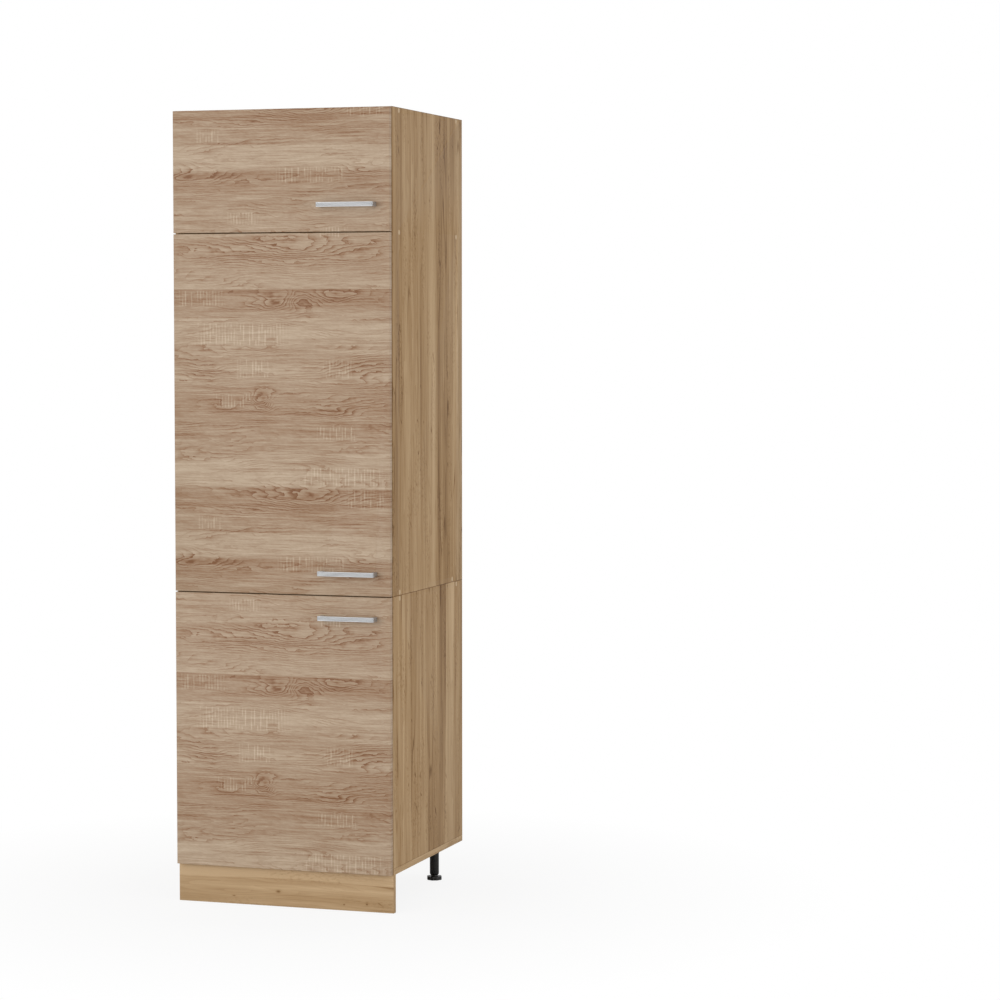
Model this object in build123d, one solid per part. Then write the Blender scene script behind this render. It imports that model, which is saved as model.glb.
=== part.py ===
from build123d import *
from math import atan2, cos, hypot, pi, radians, sin
import os

# Tall kitchen unit for a built-in fridge, with its doors closed. All sizes are in millimetres.
# The pieces are built with X = 0 in the middle of the width, Y = 0 at the carcass front edges
# (the room is towards -Y) and Z = 0 on the floor. Hinges are on the left, at -X.

# Carcass
UNIT_WIDTH = 600
CARCASS_DEPTH = 555
OVERALL_HEIGHT = 2070
LEG_HEIGHT = 100
LOWER_CARCASS_HEIGHT = 720
NICHE_HEIGHT = 908
NICHE_FLOOR_DEPTH = 520
BOARD = 16
SHELF_CENTRE_HEIGHT = 482
SHELF_FRONT = 8
SHELF_DEPTH = 465
SHELF_SIDE_GAP = 0.75
PLINTH_FLOOR_GAP = 1

# Thin back panels in grooves
BACK_THICKNESS = 3
BACK_GROOVE = 3.4
BACK_GROOVE_DEPTH = 7
BACK_ENTRY = 6.5
BACK_INSET = 12

# Doors
FRONT_GAP = 3
DOOR_THICKNESS = 16
DOOR_STANDOFF = 2
DOOR_ARRIS = 0.8
BUMPER_INSET = 20

# Handles
HANDLE_LENGTH = 154
HANDLE_HEIGHT = 12
HANDLE_PROJECTION = 28
HANDLE_BAR = 6
HANDLE_FOOT = 10
HANDLE_HOLE_SPACING = 144
HANDLE_X = 186

# Legs
LEG_X = 241
LEG_Y = (65, 490)
LEG_SCREWS = 3
FOOT_RADIUS = 21.5
FOOT_LOBES = 8
FOOT_LOBE_DEPTH = 2.6
SPINDLE_RADIUS = 4.95
SPINDLE_BORE = 5.0

# Fasteners
CAP_RADIUS = 6.3
CAP_THICKNESS = 1.0
HEAD_RADIUS = 7.5
HEAD_HEIGHT = 1.0
SCREW_Y = (50, 505)
NICHE_FLOOR_SCREW_Y = (50, 470)
DOWEL_Y = 277
JOINING_X = 180
JOINING_Y = (70, 450)
SHELF_PIN_Y = (60, 420)
SHELF_PIN_STEP = 32

# Hinge, seen from above. u is the distance from the inner face of the left side, towards +X,
# and v is Y. The four pivots are where they stand with the door closed.
ARM_OUTER_PIVOT = (17.81, -9.30)
ARM_INNER_PIVOT = (11.01, 5.18)
CUP_OUTER_PIVOT = (-0.43, -7.46)
CUP_INNER_PIVOT = (-4.84, -4.71)
OUTER_LINK_BEND = 2.73
INNER_LINK_BEND = 5.12
CUP_CENTRE = 6.0
CUP_RADIUS = 17.5
CUP_DEPTH = 12.3
CUP_SHEET = 0.8
EAR_SHEET = 1.3
EAR_SCREW = (12.0, 24.0)
EAR_HOLE = 1.7
PIN_RADIUS = 1.2
PIN_HOLE = 1.25
SLOT_RADIUS = 1.8
EYE_RADIUS = 2.5
LINK_THICKNESS = 3.0
LINK_HALF_WIDTH = 5.1
TONGUE_HALF_WIDTH = 2.0
FORK_GAP_HALF = 2.3
CHEEK = (5.5, 7.0)
BRACKET = (7.4, 8.8)
HINGE_INSET = 80
PLATE_SCREW_V = 37
PLATE_SCREW_SPREAD = 16
ARM_REAR = 62
ARM_TOP = 14.5
ARM_SCREWS_V = (30, 50)
RAIL_TOP = 9.0

# Small round pieces are drawn with flat sides, which keeps a unit with this many fasteners light
FASTENER_SIDES = 5
CUP_SIDES = 10
LEG_SIDES = 8

# Levels and faces worked out from the driving dimensions
SIDE_OUTER = UNIT_WIDTH / 2
SIDE_INNER = SIDE_OUTER - BOARD
BOTTOM_TOP = LEG_HEIGHT + BOARD
SEAM = LEG_HEIGHT + LOWER_CARCASS_HEIGHT
NICHE_FLOOR_TOP = SEAM + BOARD
COMPARTMENT_FLOOR = NICHE_FLOOR_TOP + NICHE_HEIGHT
COMPARTMENT_FLOOR_TOP = COMPARTMENT_FLOOR + BOARD
TOP_UNDERSIDE = OVERALL_HEIGHT - BOARD
BACK_Y = CARCASS_DEPTH - BACK_INSET - BACK_THICKNESS
DOOR_BACK = -DOOR_STANDOFF
DOOR_FRONT = DOOR_BACK - DOOR_THICKNESS
SHELF_LOW = SHELF_CENTRE_HEIGHT - BOARD / 2
SHELF_PIN_Z = SHELF_LOW - 3.5
BOX_CENTRE_Y = (CARCASS_DEPTH + DOOR_FRONT - HANDLE_PROJECTION) / 2

# The front is divided where a board's middle or a carcass end lies behind the gap between doors
FRONT_LINES = (LEG_HEIGHT, SEAM, COMPARTMENT_FLOOR + BOARD / 2, OVERALL_HEIGHT)
DOOR_NAMES = ("bottom", "middle", "top")
HANDLE_Z = {"bottom": 763, "middle": 878, "top": 1822}

# Boards that are screwed between the sides: height of the screw line and the screws' depths
SCREW_LINES = (
    (SEAM - BOARD / 2, SCREW_Y),
    (SEAM + BOARD / 2, NICHE_FLOOR_SCREW_Y),
    (COMPARTMENT_FLOOR + BOARD / 2, SCREW_Y),
    (OVERALL_HEIGHT - BOARD / 2, SCREW_Y),
)

CARCASS_SCREW = ((1.2, 4.9), (4, 3.4), (50, 3.4))
COUNTERSUNK_BORE = ((1.1, 5.1), (4, 3.5), (BOARD + 0.1, 3.5))
WOODEN_DOWEL_IN_SIDE = 11
WOODEN_DOWEL_LENGTH = 30


def board(x_span, y_span, z_span):
    """A rectangular board between pairs of limits."""
    low = (x_span[0], y_span[0], z_span[0])
    size = (x_span[1] - x_span[0], y_span[1] - y_span[0], z_span[1] - z_span[0])
    return Pos(*low) * Box(*size, align=(Align.MIN, Align.MIN, Align.MIN))


def drill(start, direction, radius, depth, sides=FASTENER_SIDES):
    """A round bore or rod from a start point along a direction, with its corners on the radius."""
    rod = extrude(RegularPolygon(radius, sides), depth)
    return Plane(origin=start, z_dir=direction) * rod


def turned(start, direction, profile, sides=FASTENER_SIDES):
    """A stepped or tapered rod from (distance, radius) steps along a direction."""
    rod = None
    for (low, low_radius), (high, high_radius) in zip(profile, profile[1:]):
        if high == low:
            continue
        foot = Pos(0, 0, low) * RegularPolygon(low_radius, sides)
        head = Pos(0, 0, high) * RegularPolygon(high_radius, sides)
        band = loft([foot, head], ruled=True)
        rod = band if rod is None else rod + band
    return Plane(origin=start, z_dir=direction) * rod


def strap(start, end, width, end_steps=2):
    """A flat strip with rounded ends, drawn between the centres of its ends."""
    turn = atan2(end[1] - start[1], end[0] - start[0])
    points = []
    for centre, first in ((end, turn - pi / 2), (start, turn + pi / 2)):
        for step in range(end_steps + 1):
            angle = first + pi * step / end_steps
            points.append((centre[0] + width / 2 * cos(angle), centre[1] + width / 2 * sin(angle)))
    return make_face(Polyline(*points, close=True))


def layer(sketch, low, high):
    """A plate cut from a sketch, twice: above and below the middle plane."""
    upper = extrude(Pos(0, 0, low) * sketch, high - low)
    lower = extrude(Pos(0, 0, -high) * sketch, high - low)
    return upper + lower


# Carcass

def side_screw_bores(side, low, high):
    """Countersunk bores for the carcass screws of one side board, between two heights."""
    bores = []
    for height, depths in SCREW_LINES:
        if low < height < high:
            for y in depths:
                bores.append(turned((side * SIDE_OUTER, y, height), (-side, 0, 0), COUNTERSUNK_BORE))
                start = (side * (SIDE_OUTER + 1), y, height)
                bores.append(drill(start, (-side, 0, 0), CAP_RADIUS + 0.05, CAP_THICKNESS + 1.1))
            bores.append(dowel(side, DOWEL_Y, height, 0.05))
    return bores


def dowel(side, y, height, clearance):
    """A wooden dowel, or its bore, across the joint of a side with a board's end."""
    start = (side * (SIDE_INNER + WOODEN_DOWEL_IN_SIDE + clearance), y, height)
    return drill(start, (-side, 0, 0), 4 + clearance, WOODEN_DOWEL_LENGTH + 2 * clearance)


def bottom_dowel(side, clearance):
    """The upright dowel between a side and the bottom board."""
    start = (side * (SIDE_INNER + BOARD / 2), DOWEL_Y, BOTTOM_TOP - WOODEN_DOWEL_IN_SIDE - clearance)
    return drill(start, (0, 0, 1), 4 + clearance, WOODEN_DOWEL_LENGTH + 2 * clearance)


def back_groove(x_span, z_span):
    """The groove that takes the edge of a thin back panel."""
    start = BACK_Y - (BACK_GROOVE - BACK_THICKNESS) / 2
    return board(x_span, (start, start + BACK_GROOVE), z_span)


def side_board(side, low, high):
    """One side board, with its screw bores, back groove and hinge plate bores."""
    inner = side * SIDE_INNER
    outer = side * SIDE_OUTER
    panel = board((min(inner, outer), max(inner, outer)), (0, CARCASS_DEPTH), (low, high))
    groove_bottom = side * (SIDE_INNER + BACK_GROOVE_DEPTH)
    groove = back_groove((min(inner, groove_bottom), max(inner, groove_bottom)), (low, high))
    bores = side_screw_bores(side, low, high)
    if side < 0:
        for height in all_hinge_heights():
            if low < height < high:
                bores += plate_screw_bores(height)
    return panel - ([groove] + bores)


def lower_side(side):
    """A side of the lower carcass, standing on the bottom board."""
    panel = side_board(side, BOTTOM_TOP, SEAM)
    middle = side * (SIDE_INNER + BOARD / 2)
    bores = [bottom_dowel(side, 0.05)]
    for y in SCREW_Y:
        bores.append(drill((middle, y, BOTTOM_TOP - 1), (0, 0, 1), 3.5, 37))
    for step in (-1, 0, 1):
        for y in SHELF_PIN_Y:
            start = (side * (SIDE_INNER + 9), y, SHELF_PIN_Z + step * SHELF_PIN_STEP)
            bores.append(drill(start, (-side, 0, 0), 2.5, 10))
    return [panel - bores]


def upper_side(side):
    """A side of the upper carcass, standing on the lower one."""
    return [side_board(side, SEAM, OVERALL_HEIGHT)]


def end_bores(height, depths):
    """The bores in both ends of a board that is screwed between the sides."""
    bores = []
    for side in (-1, 1):
        for y in depths:
            bores.append(drill((side * (SIDE_INNER + 1), y, height), (-side, 0, 0), 3.5, 37))
        bores.append(dowel(side, DOWEL_Y, height, 0.05))
    return bores


def cross_board(low, depth, depths):
    """A board between the sides."""
    panel = board((-SIDE_INNER, SIDE_INNER), (0, depth), (low, low + BOARD))
    return panel - end_bores(low + BOARD / 2, depths)


def bottom_panel():
    """The full-width bottom board, with the back groove in its top."""
    panel = board((-SIDE_OUTER, SIDE_OUTER), (0, CARCASS_DEPTH), (LEG_HEIGHT, BOTTOM_TOP))
    groove_end = SIDE_INNER + BACK_GROOVE_DEPTH
    cuts = [back_groove((-groove_end, groove_end), (BOTTOM_TOP - BACK_GROOVE_DEPTH, BOTTOM_TOP))]
    for side in (-1, 1):
        middle = side * (SIDE_INNER + BOARD / 2)
        cuts.append(bottom_dowel(side, 0.05))
        for y in SCREW_Y:
            cuts.append(turned((middle, y, LEG_HEIGHT), (0, 0, 1), COUNTERSUNK_BORE))
            cuts.append(drill((middle, y, LEG_HEIGHT - 1), (0, 0, 1), 5.1, 2.1))
    for x, y in leg_places():
        for screw in leg_screw_places(x, y):
            cuts.append(drill((screw[0], screw[1], LEG_HEIGHT - 1), (0, 0, 1), 1.8, 14))
    return [panel - cuts]


def lower_top_panel():
    """The top board of the lower carcass, with the back groove in its underside."""
    panel = cross_board(SEAM - BOARD, CARCASS_DEPTH, SCREW_Y)
    cuts = [back_groove((-SIDE_INNER, SIDE_INNER), (SEAM - BOARD, SEAM - BOARD + BACK_GROOVE_DEPTH))]
    return [panel - (cuts + joining_bores())]


def niche_floor_panel():
    """The board the fridge stands on, with a gap behind it that lets warm air rise."""
    panel = cross_board(SEAM, NICHE_FLOOR_DEPTH, NICHE_FLOOR_SCREW_Y)
    seats = []
    for x, y in joining_places():
        start = (x, y, NICHE_FLOOR_TOP + 1)
        seats.append(drill(start, (0, 0, -1), HEAD_RADIUS + 0.1, HEAD_HEIGHT + 1.05))
    return [panel - (joining_bores() + seats)]


def compartment_floor_panel():
    """The board between the fridge niche and the compartment over it."""
    panel = cross_board(COMPARTMENT_FLOOR, CARCASS_DEPTH, SCREW_Y)
    levels = (COMPARTMENT_FLOOR_TOP - BACK_GROOVE_DEPTH, COMPARTMENT_FLOOR_TOP)
    return [panel - back_groove((-SIDE_INNER, SIDE_INNER), levels)]


def top_panel():
    """The top board of the unit, between the sides."""
    panel = cross_board(TOP_UNDERSIDE, CARCASS_DEPTH, SCREW_Y)
    levels = (TOP_UNDERSIDE, TOP_UNDERSIDE + BACK_GROOVE_DEPTH)
    return [panel - back_groove((-SIDE_INNER, SIDE_INNER), levels)]


def back_panel(low, high):
    """A thin back panel between two boards, entering all four grooves."""
    reach = SIDE_INNER + BACK_ENTRY
    return [board((-reach, reach), (BACK_Y, BACK_Y + BACK_THICKNESS), (low - BACK_ENTRY, high + BACK_ENTRY))]


def shelf():
    """The adjustable shelf, resting on its four pins."""
    reach = SIDE_INNER - SHELF_SIDE_GAP
    depth = (SHELF_FRONT, SHELF_FRONT + SHELF_DEPTH)
    return [board((-reach, reach), depth, (SHELF_LOW, SHELF_LOW + BOARD))]


def shelf_pins():
    """Four shelf pins: a shank in the side and a thicker collar under the shelf."""
    pins = []
    for side in (-1, 1):
        for y in SHELF_PIN_Y:
            start = (side * (SIDE_INNER + 8.5), y, SHELF_PIN_Z)
            steps = ((0, 2.45), (8.5, 2.45), (8.5, 3.5), (16.5, 3.5))
            pins.append(turned(start, (-side, 0, 0), steps))
    return pins


def carcass_screws():
    """The long screws through the sides, and up through the bottom board."""
    screws = []
    for side in (-1, 1):
        for height, depths in SCREW_LINES:
            for y in depths:
                screws.append(turned((side * SIDE_OUTER, y, height), (-side, 0, 0), CARCASS_SCREW))
        middle = side * (SIDE_INNER + BOARD / 2)
        for y in SCREW_Y:
            screws.append(turned((middle, y, LEG_HEIGHT), (0, 0, 1), CARCASS_SCREW))
    return screws


def screw_cover_caps():
    """The caps pressed in over the screw heads, flush with both side faces."""
    caps = []
    for side in (-1, 1):
        for height, depths in SCREW_LINES:
            for y in depths:
                start = (side * SIDE_OUTER, y, height)
                caps.append(drill(start, (-side, 0, 0), CAP_RADIUS, CAP_THICKNESS))
    return caps


def wooden_dowels():
    """One dowel beside the screws at every board's end."""
    dowels = [dowel(side, DOWEL_Y, height, 0) for side in (-1, 1) for height, depths in SCREW_LINES]
    dowels += [bottom_dowel(side, 0) for side in (-1, 1)]
    return dowels


def joining_places():
    """Where the two carcasses are bolted together."""
    return [(side * JOINING_X, y) for side in (-1, 1) for y in JOINING_Y]


def joining_bores():
    """The bores through both boards for the joining sleeves."""
    high = NICHE_FLOOR_TOP + 1
    return [drill((x, y, high), (0, 0, -1), 4.1, 2 * BOARD + 2) for x, y in joining_places()]


def joining_sleeves():
    """Threaded sleeves whose flat heads are sunk flush in the niche floor."""
    sleeves = []
    for x, y in joining_places():
        start = (x, y, NICHE_FLOOR_TOP)
        steps = ((0, HEAD_RADIUS), (HEAD_HEIGHT, HEAD_RADIUS), (HEAD_HEIGHT, 4.0), (25, 4.0))
        bore = drill((x, y, NICHE_FLOOR_TOP - 3), (0, 0, -1), 3.0, 23)
        sleeves.append(turned(start, (0, 0, -1), steps) - bore)
    return sleeves


def joining_screws():
    """The screws that enter the sleeves from under the lower top board."""
    screws = []
    for x, y in joining_places():
        low = SEAM - BOARD - HEAD_HEIGHT
        steps = ((0, 2.9), (22, 2.9), (22, HEAD_RADIUS), (23, HEAD_RADIUS))
        screws.append(turned((x, y, low + 23), (0, 0, -1), steps))
    return screws


# Plinth and legs

def plinth_board():
    """The plinth board under the front edge, clear of the floor."""
    panel = board((-SIDE_OUTER, SIDE_OUTER), (0, BOARD), (PLINTH_FLOOR_GAP, LEG_HEIGHT))
    bores = []
    for x, z in clip_screw_places():
        bores.append(drill((x, BOARD + 1, z), (0, -1, 0), 1.8, 14))
    return [panel - bores]


def clip_screw_places():
    """The two screws, one over the other, of each plinth clip."""
    return [(side * LEG_X, z) for side in (-1, 1) for z in (32, 62)]


def plinth_clips():
    """Open spring rings that snap round the front legs, each on a stem from a screwed plate."""
    clips = []
    leg_y = LEG_Y[0]
    for side in (-1, 1):
        x = side * LEG_X
        ring = RegularPolygon(15.8, LEG_SIDES) - RegularPolygon(12.6, LEG_SIDES, major_radius=False)
        ring = Pos(x, leg_y) * ring
        mouth = Pos(x, leg_y + 14) * Rectangle(17, 16)
        stem = Pos(x, (19 + leg_y - 14) / 2) * Rectangle(8, leg_y - 14 - 19)
        body = extrude(Pos(0, 0, 40) * (ring - mouth + stem), 14)
        plate = Rectangle(30, 40)
        plate = chamfer(plate.vertices(), 4)
        plate = extrude(Plane(origin=(x, BOARD, 47), z_dir=(0, 1, 0)) * plate, 3)
        bores = [drill((x, BOARD + 5, z), (0, -1, 0), 1.9, 6) for z in (32, 62)]
        clips.append(body + plate - bores)
    return clips


def plinth_clip_screws():
    """The screws that hold the clips on the back of the plinth."""
    screws = []
    for x, z in clip_screw_places():
        start = (x, BOARD + 3 + 1.4, z)
        screws.append(turned(start, (0, -1, 0), ((0, 2.6), (1.4, 3.4), (1.4, 1.7), (16, 1.7))))
    return screws


def leg_places():
    """The axes of the four legs."""
    return [(side * LEG_X, y) for y in LEG_Y for side in (-1, 1)]


def around(x, y, radius, first, count):
    """Evenly spaced places on a circle round a leg's axis."""
    turns = [radians(first + 360 * step / count) for step in range(count)]
    return [(x + radius * cos(turn), y + radius * sin(turn)) for turn in turns]


def leg_screw_places(x, y):
    """The screws of one leg flange, between its gussets."""
    return around(x, y, 21, 60, LEG_SCREWS)


def leg_body(x, y):
    """A plastic leg tube with a round flange, gussets and the bore for the foot's spindle."""
    steps = ((14, 9.5), (22, 12.5), (LEG_HEIGHT - 4, 12.5), (LEG_HEIGHT - 4, 28), (LEG_HEIGHT, 28))
    body = turned((0, 0, 0), (0, 0, 1), steps, LEG_SIDES)
    gusset_face = make_face(Polyline((11, LEG_HEIGHT - 2), (26, LEG_HEIGHT - 2), (11, 74), close=True))
    gusset = extrude(Plane.XZ * gusset_face, 1, both=True)
    for step in range(LEG_SCREWS):
        body += Rot(0, 0, 360 * step / LEG_SCREWS) * gusset
    body = Pos(x, y) * body
    bore = extrude(Pos(x, y, 13) * RegularPolygon(SPINDLE_BORE, LEG_SIDES, major_radius=False), 47)
    cuts = [bore]
    for screw in leg_screw_places(x, y):
        cuts.append(drill((screw[0], screw[1], LEG_HEIGHT - 6), (0, 0, 1), 1.9, 7))
    return body - cuts


def leg_screws():
    """The screws through each leg flange, up into the bottom board."""
    screws = []
    for x, y in leg_places():
        for screw in leg_screw_places(x, y):
            start = (screw[0], screw[1], LEG_HEIGHT - 4 - 1.6)
            screws.append(turned(start, (0, 0, 1), ((0, 3.4), (1.6, 3.4), (1.6, 1.7), (17, 1.7))))
    return screws


def leg_foot(x, y):
    """An adjusting foot: a lobed disc to grip, a hub and the spindle inside the leg."""
    points = []
    for step in range(2 * FOOT_LOBES):
        turn = pi * step / FOOT_LOBES
        radius = FOOT_RADIUS - FOOT_LOBE_DEPTH * (step % 2)
        points.append((radius * cos(turn), radius * sin(turn)))
    disc = extrude(make_face(Polyline(*points, close=True)), 10)
    steps = ((0, 9), (4, 9), (4, SPINDLE_RADIUS), (43, SPINDLE_RADIUS))
    return [Pos(x, y) * (disc + turned((0, 0, 9), (0, 0, 1), steps, LEG_SIDES))]


# Doors and handles

def door_span(name):
    """The lower and upper edge of a door."""
    place = DOOR_NAMES.index(name)
    return FRONT_LINES[place] + FRONT_GAP / 2, FRONT_LINES[place + 1] - FRONT_GAP / 2


def hinge_heights(name):
    """The heights of a door's two hinges."""
    low, high = door_span(name)
    return [low + HINGE_INSET, high - HINGE_INSET]


def all_hinge_heights():
    """The heights of all the hinges."""
    return [height for name in DOOR_NAMES for height in hinge_heights(name)]


def door_panel(name):
    """A door: a slab with broken front edges, cup bores and handle bores."""
    low, high = door_span(name)
    half = (UNIT_WIDTH - FRONT_GAP) / 2
    panel = board((-half, half), (DOOR_FRONT, DOOR_BACK), (low, high))
    panel = chamfer(panel.faces().sort_by(Axis.Y)[0].edges(), DOOR_ARRIS)
    cuts = []
    for height in hinge_heights(name):
        centre = -SIDE_INNER + CUP_CENTRE
        start = (centre, DOOR_BACK + 1, height)
        cuts.append(drill(start, (0, -1, 0), CUP_RADIUS + 0.1, CUP_DEPTH + 1.2, CUP_SIDES))
        for x, z in ear_screw_places(height):
            cuts.append(drill((x, DOOR_BACK + 1, z), (0, -1, 0), 1.7, 12))
    for x in handle_hole_places():
        cuts.append(drill((x, DOOR_BACK + 1, HANDLE_Z[name]), (0, -1, 0), 2.25, DOOR_THICKNESS + 2))
    return [panel - cuts]


def handle_hole_places():
    """The two handle screws' places across the door."""
    return [HANDLE_X - HANDLE_HOLE_SPACING / 2, HANDLE_X + HANDLE_HOLE_SPACING / 2]


def handle(name):
    """A square-cornered bow handle, chamfered in its inner corners."""
    inner_length = HANDLE_LENGTH - 2 * HANDLE_FOOT
    front = DOOR_FRONT - HANDLE_PROJECTION
    outer = Pos(HANDLE_X, front + HANDLE_PROJECTION / 2) * Rectangle(HANDLE_LENGTH, HANDLE_PROJECTION)
    opening = Rectangle(inner_length, 40)
    opening = Pos(HANDLE_X, front + HANDLE_BAR + 20) * chamfer(opening.vertices(), 2)
    bow = extrude(Pos(0, 0, HANDLE_Z[name]) * (outer - opening), HANDLE_HEIGHT / 2, both=True)
    bores = [drill((x, DOOR_FRONT + 1, HANDLE_Z[name]), (0, -1, 0), 2.0, 13) for x in handle_hole_places()]
    return [bow - bores]


def handle_screws(name):
    """The two screws that come through the door into the handle's feet."""
    screws = []
    for x in handle_hole_places():
        start = (x, DOOR_BACK + 2.5, HANDLE_Z[name])
        steps = ((0, 4), (2.5, 4), (2.5, 1.95), (2.5 + DOOR_THICKNESS + 10, 1.95))
        screws.append(turned(start, (0, -1, 0), steps))
    return screws


def door_bumpers(name):
    """The soft buffers near the two free corners of a door's back."""
    low, high = door_span(name)
    bumpers = []
    for z in (low + BUMPER_INSET, high - BUMPER_INSET):
        start = (SIDE_INNER + BOARD / 2, DOOR_BACK, z)
        bumpers.append(drill(start, (0, 1, 0), 4, 1.7))
    return bumpers


# Concealed hinges, built at u and v with the hinge's middle at Z = 0

def at_hinges(pieces, heights):
    """Copies of a hinge's pieces at every height."""
    return [Pos(-SIDE_INNER, 0, height) * piece for height in heights for piece in pieces]


def ear_screw_places(height):
    """The two screws of a hinge cup, in the unit's own X and Z."""
    return [(-SIDE_INNER + EAR_SCREW[0], height + turn * EAR_SCREW[1]) for turn in (-1, 1)]


def plate_screw_bores(height):
    """The two pilot bores of a mounting plate, in the left side board."""
    bores = []
    for turn in (-1, 1):
        start = (-SIDE_INNER + 1, PLATE_SCREW_V, height + turn * PLATE_SCREW_SPREAD)
        bores.append(drill(start, (-1, 0, 0), 2.0, 13))
    return bores


def knee(start, end, bend):
    """The bend of a link: a point that stands off the straight line between its pivots."""
    run = (end[0] - start[0], end[1] - start[1])
    length = hypot(*run)
    middle = ((start[0] + end[0]) / 2, (start[1] + end[1]) / 2)
    return middle[0] - run[1] / length * bend, middle[1] + run[0] / length * bend


def eye(pivot):
    """The rounded end of a link round a pivot."""
    return Pos(*pivot) * RegularPolygon(EYE_RADIUS, FASTENER_SIDES)


def pin_hole(pivot):
    """A link's hole, with running clearance round its pin."""
    return Pos(*pivot) * RegularPolygon(PIN_HOLE, FASTENER_SIDES, major_radius=False)


def pivot_pin(pivot, half_length):
    """A pin across a hinge piece, through both of its cheeks."""
    return extrude(Pos(*pivot) * RegularPolygon(PIN_RADIUS, FASTENER_SIDES), half_length, both=True)


def inner_link():
    """The link on the room side: a full-width plate from the arm that ends in a fork at the cup."""
    bend = knee(ARM_INNER_PIVOT, CUP_INNER_PIVOT, INNER_LINK_BEND)
    plate = strap(ARM_INNER_PIVOT, bend, LINK_THICKNESS) + eye(ARM_INNER_PIVOT)
    plate -= pin_hole(ARM_INNER_PIVOT)
    fork = strap(bend, CUP_INNER_PIVOT, LINK_THICKNESS) + eye(CUP_INNER_PIVOT)
    fork -= pin_hole(CUP_INNER_PIVOT)
    return extrude(plate, LINK_HALF_WIDTH, both=True) + layer(fork, FORK_GAP_HALF, LINK_HALF_WIDTH)


def outer_link():
    """The link that steers the cup. Its tongue enters the other link's fork, and its slotted eye
    gives the arm pin play along the pin's path."""
    slot_middle = (ARM_OUTER_PIVOT[0] - 0.35, ARM_OUTER_PIVOT[1] + 0.15)
    lean = (1.45 * sin(radians(14.5)), 1.45 * cos(radians(14.5)))
    slot_low = (slot_middle[0] - lean[0], slot_middle[1] - lean[1])
    slot_high = (slot_middle[0] + lean[0], slot_middle[1] + lean[1])
    bend = knee(ARM_OUTER_PIVOT, CUP_OUTER_PIVOT, OUTER_LINK_BEND)
    plate = strap(ARM_OUTER_PIVOT, bend, LINK_THICKNESS) + strap(slot_low, slot_high, 2 * (SLOT_RADIUS + 0.8))
    plate -= strap(slot_low, slot_high, 2 * SLOT_RADIUS, 4)
    tongue = strap(bend, CUP_OUTER_PIVOT, LINK_THICKNESS) + eye(CUP_OUTER_PIVOT)
    tongue -= pin_hole(CUP_OUTER_PIVOT)
    return extrude(plate, LINK_HALF_WIDTH, both=True) + extrude(tongue, TONGUE_HALF_WIDTH, both=True)


def hinge_arm():
    """The arm: a folded channel over the plate's rail, whose cheeks reach forward to two riveted
    pins. Its side adjusting screw and clamping screw are captive in its top."""
    cheeks = strap(ARM_OUTER_PIVOT, ARM_INNER_PIVOT, 5) + strap(ARM_INNER_PIVOT, (9.5, 18), 6.4)
    cheeks += Pos((3 + ARM_TOP) / 2, (16 + ARM_REAR) / 2) * Rectangle(ARM_TOP - 3, ARM_REAR - 16)
    arm = layer(cheeks, *CHEEK)
    arm += board((ARM_TOP - 1.5, ARM_TOP), (11, ARM_REAR), (-CHEEK[1], CHEEK[1]))
    arm += [pivot_pin(pivot, CHEEK[1]) for pivot in (ARM_INNER_PIVOT, ARM_OUTER_PIVOT)]
    for v in ARM_SCREWS_V:
        arm += drill((ARM_TOP + 1.5, v, 0), (-1, 0, 0), 4.5, 1.5)
    return arm


def hinge_plate():
    """The mounting plate: two screwed wings and the rail that the arm clamps on."""
    side_plane = Plane(origin=(0, 0, 0), x_dir=(0, 1, 0), z_dir=(1, 0, 0))
    wings = strap((PLATE_SCREW_V, -17.5), (PLATE_SCREW_V, 17.5), 13)
    rail = Pos(42, 0) * Rectangle(36, 10)
    plate = extrude(side_plane * wings, 2.5) + extrude(side_plane * rail, RAIL_TOP)
    cuts = []
    for turn in (-1, 1):
        steps = ((-0.1, 3.7), (1.8, 2.0), (3.0, 2.0))
        cuts.append(turned((2.5, PLATE_SCREW_V, turn * PLATE_SCREW_SPREAD), (-1, 0, 0), steps))
    return plate - cuts


def hinge_plate_screws():
    """The countersunk screws of a mounting plate."""
    steps = ((0, 3.6), (1.8, 1.9), (14, 1.9))
    return [turned((2.5, PLATE_SCREW_V, turn * PLATE_SCREW_SPREAD), (-1, 0, 0), steps) for turn in (-1, 1)]


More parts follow.
